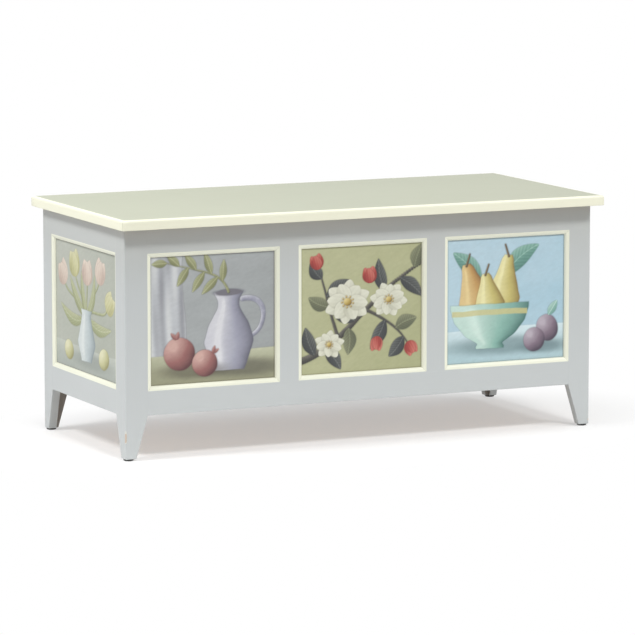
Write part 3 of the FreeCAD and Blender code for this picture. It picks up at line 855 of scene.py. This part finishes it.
# round fruit: inside = 1 - distance over the radii; light from the upper left on a half ball
def layFruit(p, centre, radii, turn, tones, bloom=0.0):
    c, s = math.cos(turn), math.sin(turn)
    dx, dy = p.x - centre[0], p.y - centre[1]
    u, v = (dx * c + dy * s) / radii[0], (dy * c - dx * s) / radii[1]
    far = np.hypot(u, v)
    bulge = np.sqrt(np.clip(1 - far ** 2, 0, 1))
    light = 0.30 - 0.38 * (u * c - v * s) + 0.40 * (u * s + v * c) + 0.34 * bulge
    light += 0.16 * uneven(p, dx * 14, dy * 14, 40)
    gleam = (dx + 0.35 * radii[0]) ** 2 + (dy - 0.40 * radii[1]) ** 2
    light += bloom * np.exp(-gleam / (0.06 * radii[0] ** 2))
    layShaded(p, (1 - far) * min(radii), light, tones)


# turned body, such as a jug or a pear: half width from a smoothed profile, light across it as on a round post
def layTurned(p, foot, tip, shares, widths, tones, gloss=0.25, lean=0.0):
    t, beside, length = alongBeside(p, foot, tip)
    beside = beside + lean * t * (1 - t)
    dense = np.linspace(0, 1, 241)
    window = np.hanning(31)
    half = np.pad(np.interp(dense, shares, widths), len(window) // 2, mode="edge")
    width = np.interp(t, dense, np.convolve(half, window / window.sum(), mode="valid"))
    inside = np.minimum(np.minimum(width - np.abs(beside), t * length), (1 - t) * length)
    u = np.clip(-beside / width, -1, 1)
    light = 0.36 - 0.42 * u + 0.30 * np.sqrt(1 - u * u) + 0.08 * (t - 0.5)
    light += gloss * np.exp(-((u + 0.45) / 0.16) ** 2) * softStep(np.sin(t * math.pi) - 0.3, 0.25)
    layShaded(p, inside, light + 0.10 * uneven(p, p.x * 11, p.y * 11, 50), tones)


# leaf or petal: half width is a sine along it; one half is paler, a rib and faint veins mark a leaf
def layLeaf(p, foot, tip, width, tones, fullness=1.0, rib=True, bend=0.0):
    t, beside, length = alongBeside(p, foot, tip)
    beside = beside - bend * np.sin(np.clip(t, 0, 1) * math.pi)
    half = width * np.sin(np.clip(t, 0, 1) ** 0.85 * math.pi) ** fullness
    inside = np.where((t > 0) & (t < 1), half - np.abs(beside), -0.1)
    share = np.clip(beside / width, -1, 1)
    light = 0.42 + (0.22 if tip[0] >= foot[0] else -0.22) * share + 0.18 * t
    if rib:
        light += 0.06 * np.sin((t * 9 - np.abs(share) * 2.2) * 2 * math.pi)
        light += 0.26 * np.exp(-(beside / 0.0045) ** 2)
    else:
        light += 0.22 * (1 - np.abs(share)) * t + 0.05 * np.sin(share * 13)
    layShaded(p, inside, light, tones)


# stem: nearest distance to a curve through four control points, thinning to its tip
def layStem(p, control, thick, thin, tones):
    s = np.linspace(0, 1, 70)[:, None]
    a, b, c, d = np.array(control, float)
    curve = (1 - s) ** 3 * a + 3 * (1 - s) ** 2 * s * b + 3 * (1 - s) * s ** 2 * c + s ** 3 * d
    gap = np.hypot(p.x[..., None] - curve[:, 0], p.y[..., None] - curve[:, 1])
    nearest = gap.argmin(axis=-1)
    width = thick + (thin - thick) * s[nearest, 0]
    light = 0.5 + 0.3 * (p.y - curve[nearest, 1] - p.x + curve[nearest, 0]) / width
    light += 0.3 * uneven(p, p.x * 30, p.y * 30, 60)
    layShaded(p, width - gap.min(axis=-1), light, tones)
    return curve


# open flower: two rows of petals round a centre, then a ring of dots
def layBlossom(p, centre, size, petals, turn, tones, heart):
    for reach, start in ((1.0, 0.0), (0.86, 0.5)):
        for number in range(petals):
            angle = turn + (number + start) * 2 * math.pi / petals
            layLeaf(p, centre, reachFrom(centre, angle, size * reach, 0.86), size * 0.30, tones, 0.62, False)
    layFruit(p, centre, (size * 0.17, size * 0.15), 0.0, heart)
    for number in range(9):
        dot = reachFrom(centre, turn + number * 0.7, size * 0.24, 0.875)
        layFruit(p, dot, (size * 0.035, size * 0.035), 0.0, heart)


# cup-shaped flower: two petals behind, one in front
def layTulip(p, foot, tip, width, tones):
    dx, dy = tip[0] - foot[0], tip[1] - foot[1]
    for sideways, reach in ((-0.28, 0.97), (0.28, 0.95), (0.03, 0.90)):
        end = (foot[0] + dx * reach - dy * sideways, foot[1] + dy * reach + dx * sideways)
        layLeaf(p, foot, end, width, tones, 0.75, False)


# rolling ground: everything below a wavy line, paler along its crest
def layHill(p, height, swing, waves, phase, tones):
    crest = height + swing * np.sin(p.x * waves + phase) + 0.3 * swing * np.sin(p.x * waves * 2.7 + 2 * phase)
    below = crest - p.y
    furrow = 0.07 * np.sin((below * 30 + p.x * 4 * math.cos(phase)) * 2)
    layShaded(p, below, 0.85 - below * 2.4 + furrow + 0.25 * uneven(p, p.x * 9, p.y * 16, 70), tones)


# finish: pigment unevenness, a darker line of painted shade and grime beside the bead, brush ridges that fade
# out under the bead, and the slab's sides and back
def finishPicture(p):
    v = pictureValues
    x, y = p.plainX, p.plainY
    strokes = layeredNoise(x * 14 + y * 26, y * 60 - x * 30, p.seed + 80)
    fine = layeredNoise(x * 60, y * 60, p.seed + 83)
    colour = np.clip(p.colour * (1 + 0.09 * (strokes - 0.5) + 0.05 * (fine - 0.5))[..., None], 0, 1)
    border = np.minimum(np.minimum(x, p.wide - x), np.minimum(y, 1 - y))
    # painted shade and grime in the corner beside the bead, laid as a darker line
    beadShadeAndGrime = v["beadShadeAndGrime"] * np.exp(-(border * p.tall / v["beadShadeAndGrimeReach"]) ** 2) * (0.7 + 0.6 * strokes)
    colour = colour + (tone(*v["beadShadeAndGrimeTone"]) - colour) * np.clip(beadShadeAndGrime, 0, 1)[..., None]
    proud = v["relief"] * (0.7 * strokes + 0.3 * fine) * softStep(border - 0.02, 0.02)
    front = toWorld(p.side, p.across, p.face - proud, p.up).reshape(-1, 3)
    index = np.arange(x.size).reshape(x.shape)
    ring = np.concatenate([index[0, :-1], index[:-1, -1], index[-1, :0:-1], index[:0:-1, 0]])
    rear = front[ring] + p.side.axes[1] * (p.back - p.face)
    rearRing = x.size + np.arange(len(ring))
    walls = np.stack([ring, rearRing, np.roll(rearRing, -1), np.roll(ring, -1)], axis=1)
    cap = fan(x.size + len(ring), rearRing)[:, [0, 2, 1]]
    bare = np.tile(tone(*pineValues["light"]), (len(ring) + 1, 1))
    values = {"laidColour": np.vstack([colour.reshape(-1, 3), bare]),
              "rear": np.repeat([0, 1], [x.size, len(bare)])}
    putMesh(np.vstack([front, rear, rear.mean(axis=0)]), [gridQuads(*x.shape), walls, cap], panelPaint,
            "carcass", "picture_panel", [p.node], values, 60)


# front left: a grey jug with an olive branch, two dark red fruits and a hanging cloth
def paintJug(p):
    greys = ((97, 97, 110), (155, 156, 171), (213, 213, 217))
    olives = ((86, 88, 62), (140, 143, 104), (190, 192, 158))
    reds = ((92, 58, 60), (146, 98, 95), (198, 162, 153))
    layBackdrop(p, (168, 172, 173), (148, 152, 152))
    fold = 0.5 + 0.30 * np.sin(p.x * 34 + 2.2 * np.sin(p.y * 3.1)) + 0.14 * np.sin(p.x * 79 + p.y * 5)
    drape = 0.27 + 0.05 * np.sin(p.y * 4.2 + 0.6) + 0.10 * (p.y - 0.5) - p.x
    layShaded(p, drape, fold, ((142, 143, 148), (180, 183, 187), (206, 208, 208)), (110, 109, 114))
    layTable(p, 0.235, (148, 148, 122), (184, 186, 160))
    layShadow(p, (0.78, 0.10), (0.34, 0.07), (84, 82, 72), 0.7)
    layStem(p, [(0.78, 0.64), (1.00, 0.68), (1.00, 0.38), (0.83, 0.34)], 0.021, 0.017, greys)
    layTurned(p, (0.66, 0.085), (0.66, 0.70), [0, 0.06, 0.36, 0.60, 0.80, 0.90, 1.0],
              [0.125, 0.145, 0.215, 0.165, 0.090, 0.092, 0.128], greys)
    laySolid(p, (1 - ovalDistance(p, (0.66, 0.697), (0.118, 0.026))) * 0.026, tone(112, 110, 118), greys[0])
    curve = layStem(p, [(0.66, 0.70), (0.60, 0.88), (0.42, 0.86), (0.14, 0.95)], 0.010, 0.004, olives)
    for place, turn, size in ((14, 1.5, 0.17), (22, 3.9, 0.19), (30, 1.9, 0.18), (38, 4.1, 0.19),
                              (46, 2.2, 0.16), (53, 4.1, 0.17), (60, 2.4, 0.14), (69, 3.2, 0.13)):
        layLeaf(p, curve[place], reachFrom(curve[place], turn, size), 0.032, olives, 0.9)
    layShadow(p, (0.36, 0.10), (0.27, 0.06), (84, 80, 66), 0.65)
    layFruit(p, (0.24, 0.235), (0.132, 0.128), 0.2, reds, 0.28)
    for tip in ((0.17, 0.40), (0.235, 0.41)):
        layLeaf(p, (0.22, 0.345), tip, 0.017, reds, 0.8, False)
    layFruit(p, (0.455, 0.150), (0.108, 0.104), -0.3, reds, 0.28)
    for tip in ((0.575, 0.255), (0.540, 0.285)):
        layLeaf(p, (0.52, 0.225), tip, 0.014, reds, 0.8, False)


# front centre: white blossoms and dark leaves on a slanting branch, over olive gold
def paintBlossom(p):
    bark = ((46, 45, 44), (76, 74, 70), (118, 114, 106))
    darks = ((38, 40, 43), (68, 71, 72), (120, 123, 118))
    mids = ((70, 74, 60), (104, 108, 86), (152, 155, 124))
    whites = ((160, 159, 138), (202, 202, 184), (224, 224, 208))
    golds = ((120, 96, 46), (178, 152, 82), (214, 198, 138))
    reds = ((104, 36, 36), (164, 70, 64), (206, 132, 118))
    layBackdrop(p, (180, 181, 145), (166, 168, 129))
    branch = layStem(p, [(-0.06, 0.10), (0.36, 0.16), (0.56, 0.62), (1.10, 0.86)], 0.030, 0.012, bark)
    twig = layStem(p, [branch[24], (0.26, 0.42), (0.22, 0.62), (0.15, 0.84)], 0.015, 0.006, bark)
    spray = layStem(p, [branch[40], (0.68, 0.44), (0.84, 0.34), (0.93, 0.20)], 0.014, 0.006, bark)
    for stem, place, turn, size, kind in (
            (branch, 10, 1.9, 0.24, darks), (branch, 16, -0.9, 0.22, darks), (branch, 34, 2.6, 0.26, darks),
            (branch, 50, 1.75, 0.27, darks), (branch, 58, -0.7, 0.25, darks), (branch, 64, 1.2, 0.20, mids),
            (twig, 34, 2.7, 0.20, mids), (twig, 44, 0.5, 0.25, darks), (twig, 60, 2.2, 0.17, darks),
            (spray, 30, -2.1, 0.26, darks), (spray, 46, 0.4, 0.20, mids), (spray, 60, -2.3, 0.20, darks),
            (branch, 30, -1.6, 0.22, mids)):
        layLeaf(p, stem[place], reachFrom(stem[place], turn, size), 0.056, kind, 0.85, True, 0.012)
    for centre, size, petals, turn in (((0.40, 0.56), 0.205, 6, 0.4), ((0.76, 0.56), 0.165, 6, 0.9),
                                       ((0.24, 0.23), 0.135, 5, 0.2)):
        layBlossom(p, centre, size, petals, turn, whites, golds)
    for foot, tip, width in (((0.150, 0.83), (0.115, 0.955), 0.042), ((0.93, 0.215), (0.985, 0.105), 0.040),
                             ((0.60, 0.70), (0.585, 0.835), 0.044), ((0.66, 0.27), (0.645, 0.150), 0.038)):
        layTulip(p, foot, tip, width, reds)


# front right: pears and plums with a mint bowl on pale blue
def paintPear(p):
    mustard = ((132, 112, 62), (192, 180, 112), (228, 222, 170))
    amber = ((128, 94, 58), (186, 148, 92), (222, 200, 146))
    plums = ((76, 66, 80), (124, 108, 122), (178, 168, 178))
    mints = ((72, 112, 106), (134, 176, 164), (202, 224, 214))
    teals = ((58, 98, 92), (104, 148, 136), (166, 200, 186))
    bark = ((62, 52, 40), (104, 88, 66), (150, 134, 106))
    layBackdrop(p, (181, 204, 215), (160, 192, 206))
    layTable(p, 0.27, (170, 196, 202), (205, 222, 226))
    layLeaf(p, (0.52, 0.70), (0.82, 0.93), 0.075, teals, 0.8, True, 0.03)
    layLeaf(p, (0.30, 0.66), (0.05, 0.90), 0.070, teals, 0.8, True, -0.02)
    pearShares = [0, 0.10, 0.32, 0.58, 0.82, 0.95, 1.0]
    pearWidths = np.array([0.035, 0.105, 0.148, 0.108, 0.064, 0.050, 0.030])
    layTurned(p, (0.27, 0.36), (0.17, 0.80), pearShares, pearWidths, amber, 0.2, 0.05)
    layTurned(p, (0.50, 0.36), (0.55, 0.86), pearShares, pearWidths, mustard, 0.25, -0.05)
    layTurned(p, (0.40, 0.34), (0.34, 0.72), pearShares, pearWidths * 0.92, mustard)
    for foot, tip in (((0.17, 0.79), (0.20, 0.88)), ((0.55, 0.85), (0.52, 0.94)),
                      ((0.34, 0.71), (0.37, 0.79))):
        layStem(p, [foot, foot, tip, tip], 0.010, 0.007, bark)
    layShadow(p, (0.50, 0.13), (0.48, 0.07), (96, 120, 122), 0.65)
    layTurned(p, (0.38, 0.11), (0.38, 0.47), [0, 0.06, 0.10, 0.30, 0.60, 0.90, 1.0],
              [0.12, 0.13, 0.10, 0.22, 0.315, 0.352, 0.352], mints, 0.2)
    bowed = np.abs(p.y - 0.405 + 0.06 * (p.x - 0.38) ** 2)
    lay(p, np.minimum(0.022 - bowed, 0.338 - np.abs(p.x - 0.38)), tone(198, 190, 132), 0.8)
    layShadow(p, (0.86, 0.10), (0.20, 0.05), (90, 112, 116), 0.6)
    layFruit(p, (0.90, 0.25), (0.098, 0.108), 0.3, plums, 0.25)
    layFruit(p, (0.78, 0.160), (0.096, 0.098), -0.2, plums, 0.25)
    layLeaf(p, (0.91, 0.35), (0.99, 0.47), 0.034, mints, 0.85)


# left end: pale tulips in a light blue vase on sage grey
def paintTulip(p):
    olives = ((112, 116, 80), (156, 162, 122), (196, 198, 166))
    pinks = ((158, 134, 122), (198, 180, 166), (222, 212, 198))
    yellows = ((142, 138, 88), (186, 184, 136), (214, 212, 178))
    blues = ((126, 138, 142), (176, 187, 189), (210, 216, 214))
    layBackdrop(p, (177, 180, 170), (162, 167, 155))
    layTable(p, 0.20, (161, 167, 160), (183, 188, 178))
    heads = (((0.20, 0.66), (0.10, 0.84), 0.075, pinks), ((0.42, 0.74), (0.37, 0.96), 0.080, yellows),
             ((0.66, 0.70), (0.66, 0.91), 0.082, pinks), ((0.90, 0.74), (0.97, 0.94), 0.078, pinks),
             ((1.06, 0.54), (1.20, 0.68), 0.072, yellows))
    for foot, tip, width, kind in heads:
        bend = (foot[0] * 0.8 + 0.13, foot[1] - 0.10)
        layStem(p, [(0.64, 0.40), (0.64, 0.58), bend, foot], 0.012, 0.010, olives)
    for foot, tip, width, bend in (
            ((0.60, 0.42), (0.10, 0.50), 0.050, 0.06), ((0.66, 0.44), (1.16, 0.40), 0.048, -0.05),
            ((0.62, 0.44), (0.30, 0.74), 0.046, 0.03), ((0.66, 0.44), (0.82, 0.80), 0.046, -0.04),
            ((0.64, 0.44), (0.54, 0.80), 0.040, 0.02)):
        layLeaf(p, foot, tip, width, olives, 0.85, True, bend)
    for head in heads:
        layTulip(p, *head)
    layShadow(p, (0.74, 0.10), (0.36, 0.06), (132, 138, 132), 0.6)
    layTurned(p, (0.64, 0.09), (0.64, 0.50), [0, 0.06, 0.35, 0.70, 0.90, 1.0],
              [0.105, 0.115, 0.185, 0.120, 0.088, 0.112], blues)
    layFruit(p, (1.00, 0.155), (0.105, 0.082), 0.2, yellows, 0.2)
    layFruit(p, (0.27, 0.140), (0.094, 0.078), -0.2, yellows, 0.2)


# right end: quiet hills with a row of slim trees
def paintHill(p):
    trees = ((86, 98, 78), (128, 140, 112), (172, 180, 150))
    layBackdrop(p, (198, 208, 208), (214, 212, 194), 0.1)
    layHill(p, 0.66, 0.05, 4.0, 0.4, ((146, 158, 162), (174, 186, 188), (200, 208, 206)))
    layHill(p, 0.54, 0.06, 3.1, 2.1, ((138, 150, 138), (172, 182, 166), (202, 208, 190)))
    for x, foot, top in ((0.16, 0.42, 0.72), (0.27, 0.40, 0.66), (0.93, 0.44, 0.78), (1.03, 0.42, 0.70),
                         (1.12, 0.40, 0.64)):
        layTurned(p, (x, foot), (x, top), [0, 0.08, 0.35, 0.75, 1.0], [0.010, 0.032, 0.042, 0.028, 0.004],
                  trees, 0.0)
    layHill(p, 0.41, 0.06, 3.6, 4.0, ((132, 136, 96), (176, 178, 130), (206, 206, 166)))
    layHill(p, 0.26, 0.05, 2.6, 0.9, ((150, 128, 110), (190, 172, 150), (214, 202, 184)))
    layHill(p, 0.13, 0.03, 5.2, 2.6, ((112, 122, 92), (150, 160, 126), (186, 194, 160)))


# each picture with its panel, its side and the seed of its noise
for paintPicture, node, side, seed in (
        (paintJug, "front_left_panel", "front", 11), (paintBlossom, "front_centre_panel", "front", 23),
        (paintPear, "front_right_panel", "front", 37), (paintTulip, "left_end_panel", "left_end", 53),
        (paintHill, "right_end_panel", "right_end", 71)):
    picture = newPicture(node, sides[side], seed)
    paintPicture(picture)
    finishPicture(picture)
print("pictures laid")

# glides: a turned profile, domed at the floor
glideValues = {
    "around": 40, "radius": 0.0110, "rim": 0.0108, "floorRadius": 0.0088, "dome": 0.0003, "edge": 0.0014,
    "floorShares": (0.45, 0.80, 0.95, 1.0), "domeShares": (0.0, 0.1, 0.4, 1.0),     # of floor radius and dome
    "rimShares": (0.985, 1.0, 0.97), "rimHeight": 0.8,                              # of rim and glide
}


def makeGlides():
    v = glideValues
    low, high = boxOf("foot_glides")
    radius = np.append(np.array(v["floorShares"]) * v["floorRadius"], np.array(v["rimShares"]) * v["rim"])
    up = np.append(np.array(v["domeShares"]) * v["dome"], [v["edge"], v["rimHeight"] * glideTop, glideTop])
    angle = np.linspace(0, 2 * math.pi, v["around"], endpoint=False)
    flat = np.stack([np.cos(angle), np.sin(angle)], axis=-1)
    points, faces = closedTube(np.dstack([radius[:, None, None] * flat, up[:, None] + 0 * angle]))
    places = [points + (x, y, 0.0) for x in (low[0] + v["radius"], high[0] - v["radius"])
              for y in (low[1] + v["radius"], high[1] - v["radius"])]
    putMesh(*repeated(places, faces), blackGlide, "carcass", "glide_plastic", ["foot_glides"], {}, 40)


makeGlides()
print("glides made")

# screws: a flat slotted head laid on chords, then rim, cone, shank and tip as smaller copies of its outline
screwValues = {
    "headRadius": 0.0034, "headHeight": 0.0012, "shankRadius": 0.0017, "sunk": 0.0001, "bevel": 0.0002,
    "slotHalf": 0.00042, "slotDepth": 0.0008, "slotDraft": 0.9, "endChord": 0.94, "sideChords": 6, "rows": 9,
    "rimShare": 0.8, "shankShare": 0.75, "tipShare": 0.2, "tip": 0.0004,
    "hingeLength": 0.0150, "boardLength": 0.0230,
    "bottomShare": 0.36,        # outer bottom screws from the middle, of the inside length
}


# one screw with its head face at height 0 and its tip below: points and faces
def screwShape(length):
    v = screwValues
    side = np.linspace(-v["endChord"], -v["slotHalf"] / v["headRadius"], v["sideChords"])
    floor = side[-1] * v["slotDraft"] * np.array([1.0, 0.0, -1.0])
    chord = np.concatenate([side, floor, -side[::-1]])
    sunk = np.concatenate([0 * side, 0 * floor + v["slotDepth"], 0 * side])
    face = v["headRadius"] - v["bevel"]
    x, rowShare = np.meshgrid(face * chord, np.linspace(-1, 1, v["rows"]), indexing="ij")
    y = np.sqrt(face ** 2 - x ** 2) * rowShare
    grid = np.stack([x, y, np.broadcast_to(-sunk[:, None], x.shape)], axis=-1).reshape(-1, 3)
    index = np.arange(x.size).reshape(x.shape)
    top = np.vstack([grid, (-face, 0, 0), (face, 0, 0)])
    leftEnd, rightEnd = x.size, x.size + 1
    rim = np.concatenate([[leftEnd], index[:, 0], [rightEnd], index[::-1, -1]])
    fans = [fan(leftEnd, index[0])[:-1], fan(rightEnd, index[-1])[:-1, [0, 2, 1]]]
    # outlines below the face: radius and depth
    levels = ((v["headRadius"], v["bevel"]), (v["headRadius"], v["rimShare"] * v["headHeight"]),
              (v["shankRadius"], v["headHeight"]), (v["shankRadius"], v["shankShare"] * length),
              (v["tipShare"] * v["shankRadius"], length))
    rings = [np.column_stack([top[rim, :2] * radius / face, np.minimum(top[rim, 2] - 0.05 * depth, -depth)])
             for radius, depth in levels]
    order = np.vstack([rim, len(top) + np.arange(len(levels) * len(rim)).reshape(len(levels), -1)])
    follow = np.roll(order, -1, axis=1)
    walls = np.stack([order[:-1], order[1:], follow[1:], follow[:-1]], axis=-1).reshape(-1, 4)
    cap = fan(len(top) + len(levels) * len(rim), order[-1])[:, [1, 0, 2]]
    points = np.vstack([top] + rings + [(0, 0, -length - v["tip"])])
    return points, [np.vstack([gridQuads(*x.shape)[:, [0, 3, 2, 1]], walls]), np.vstack(fans + [cap])]


# a screw at each place, its head looking along outward, each slot turned by its own angle
def makeScrews(node, places, outward, length, body, seed):
    points, faces = screwShape(length)
    out, first = np.array(outward, float), np.array([1.0, 0, 0])
    placed = []
    for place, angle in zip(places, np.random.default_rng(seed).uniform(0, math.pi, len(places))):
        axisX = math.cos(angle) * first + math.sin(angle) * np.cross(out, first)
        basis = np.stack([axisX, np.cross(out, axisX), out])
        placed.append(np.array(place) - out * screwValues["sunk"] + points @ basis)
    putMesh(*repeated(placed, faces), screwBrass, body, "screw_metal", [node], {}, 30)


def placeScrews():
    v = screwValues
    radius = v["headRadius"]
    low, high = boxOf("hinge_frame_screws")
    lidLow = boxOf("hinge_lid_screws")[0]
    leaves = [boxOf(end + "_hinge_fixed_leaf")[:, 0].mean() for end in ("left", "right")]
    pitch = leaves[0] - low[0] - radius
    spots = [leaf + step * pitch for leaf in leaves for step in (-1, 0, 1)]
    framePlaces = [(x, high[1], low[2] + radius) for x in spots]
    lidPlaces = [(x, lidLow[1] + radius, lidLow[2]) for x in spots]
    makeScrews("hinge_frame_screws", framePlaces, (0, 1, 0), v["hingeLength"], "carcass", 5)
    makeScrews("hinge_lid_screws", lidPlaces, (0, 0, -1), v["hingeLength"], "lid", 6)
    low, high = boxOf("bottom_screws")
    out = v["bottomShare"] * (frontLength - 2 * boardThick)
    places = [(x, y, high[2]) for y in (low[1] + radius, high[1] - radius) for x in (-out, 0.0, out)]
    places += [(x, 0.5 * (low[1] + high[1]), high[2]) for x in (low[0] + radius, high[0] - radius)]
    makeScrews("bottom_screws", places, (0, 0, 1), v["boardLength"], "carcass", 7)


placeScrews()
print("screws made")

# stage: pale floor, a front lamp far off, a soft lamp on each side, and an even sky
stageValues = {
    "floorSize": 60.0, "floorRough": 0.9, "floorGloss": 0.1,
    "floorShade": (0.92, 0.25), "floorReach": (1.0, 2.4),   # floor near and far off, and where it turns
    "nearWhite": 0.42, "farWhite": 1.0,                 # share of plain white in the floor, to the camera
    "nearReach": (0.68, 0.40), "fade": (0.85, 1.35),    # half sizes of the near oval, where white comes in
    "sky": 0.40,
    "front": (1.294, (0.0, -0.605, 0.795), 12.0),       # strength, direction, width in degrees
    # watts, place and size of each soft lamp, and the point that both look at
    "lamps": {"left": (59.5, (-2.20, -0.20, 2.64), 0.80), "right": (18.5, (1.80, -1.56, 2.13), 0.45)},
    "aim": (0.0, 0.0, 0.3),
}


# 1 for rays that show the background: straight from the camera, mirrored or through glass
def seenRays(tree):
    rays = addNode(tree, "ShaderNodeLightPath").outputs
    return calc(tree, "MAXIMUM", rays["Is Camera Ray"],
                calc(tree, "MAXIMUM", rays["Is Glossy Ray"], rays["Is Transmission Ray"]))


# floor: shade by distance from its middle, and a share of plain white by the distance over an oval
def makeFloor():
    v = stageValues
    half = v["floorSize"]
    mesh = bpy.data.meshes.new("floor")
    corners = [(-half, -half, 0), (half, -half, 0), (half, half, 0), (-half, half, 0)]
    mesh.from_pydata(corners, [], [(0, 1, 2, 3)])
    floor = bpy.data.objects.new("floor", mesh)
    bpy.context.collection.objects.link(floor)
    material, tree = newMaterial("paleFloor")
    shader = tree.nodes["Principled BSDF"]
    shader.inputs["Roughness"].default_value = v["floorRough"]
    shader.inputs["Specular IOR Level"].default_value = v["floorGloss"]
    away = addNode(tree, "ShaderNodeVectorMath", operation="LENGTH", Vector=objectPlace(tree))
    shade = remap(tree, away.outputs["Value"], *v["floorReach"], *v["floorShade"])
    setSocket(tree, shader.inputs["Base Color"], greyOf(tree, shade))
    parts = zip(placeParts(tree), v["nearReach"])
    across, deep = (calc(tree, "DIVIDE", part, reach) for part, reach in parts)
    far = calc(tree, "SQRT", sumOf(tree, 0.0, (across, across), (deep, deep)))
    white = remap(tree, far, *v["fade"], v["nearWhite"], v["farWhite"])
    mixed = addNode(tree, "ShaderNodeMixShader", Fac=calc(tree, "MULTIPLY", seenRays(tree), white))
    tree.links.new(shader.outputs[0], mixed.inputs[1])
    tree.links.new(addNode(tree, "ShaderNodeEmission").outputs[0], mixed.inputs[2])
    tree.links.new(mixed.outputs[0], tree.nodes["Material Output"].inputs["Surface"])
    mesh.materials.append(material)


def makeSky():
    sky = stageValues["sky"]
    world = bpy.data.worlds.new("evenSky")
    bpy.context.scene.world = world
    world.use_nodes = True
    tree = world.node_tree
    background = tree.nodes["Background"].inputs
    setSocket(tree, background["Strength"], sumOf(tree, sky, (seenRays(tree), 1.0 - sky)))
    background["Color"].default_value = (1, 1, 1, 1)


# turned so that its own Z looks along back
def aimAlong(item, back):
    item.rotation_euler = Vector(back).to_track_quat("Z", "Y").to_euler()
    bpy.context.collection.objects.link(item)


# lamp that shines from back towards its aim
def addLamp(name, kind, strength, back, place=(0, 0, 0)):
    data = bpy.data.lights.new(name, kind)
    data.energy = strength
    lamp = bpy.data.objects.new(name, data)
    lamp.location = place
    aimAlong(lamp, back)
    return data


def makeLamps():
    v = stageValues
    strength, back, width = v["front"]
    addLamp("frontLamp", "SUN", strength, back).angle = math.radians(width)
    for name, (watts, place, size) in v["lamps"].items():
        data = addLamp(name + "Lamp", "AREA", watts, Vector(place) - Vector(v["aim"]), place)
        data.shape = "DISK"
        data.size = size


# camera: fitted to the photograph's straight edges; focal length and frame are in pixels
cameraValues = {
    "azimuth": -25.013, "elevation": 7.996, "distance": 9.293, "focal": 4224.06, "frame": 635.0,
    "target": (-0.0050, -0.0087, 0.2464), "sensor": 36.0, "clipEnd": 200.0,
}


def makeCamera():
    v = cameraValues
    a, e = math.radians(v["azimuth"]), math.radians(v["elevation"])
    back = np.array([math.sin(a) * math.cos(e), -math.cos(a) * math.cos(e), math.sin(e)])
    data = bpy.data.cameras.new("camera")
    data.sensor_width = v["sensor"]
    data.lens = v["sensor"] * v["focal"] / v["frame"]
    data.clip_end = v["clipEnd"]
    camera = bpy.data.objects.new("camera", data)
    camera.location = Vector(np.array(v["target"]) + back * v["distance"])
    aimAlong(camera, back)
    bpy.context.scene.camera = camera


makeFloor()
makeSky()
makeLamps()
makeCamera()
bpy.context.scene.view_settings.view_transform = "Standard"

print("done")
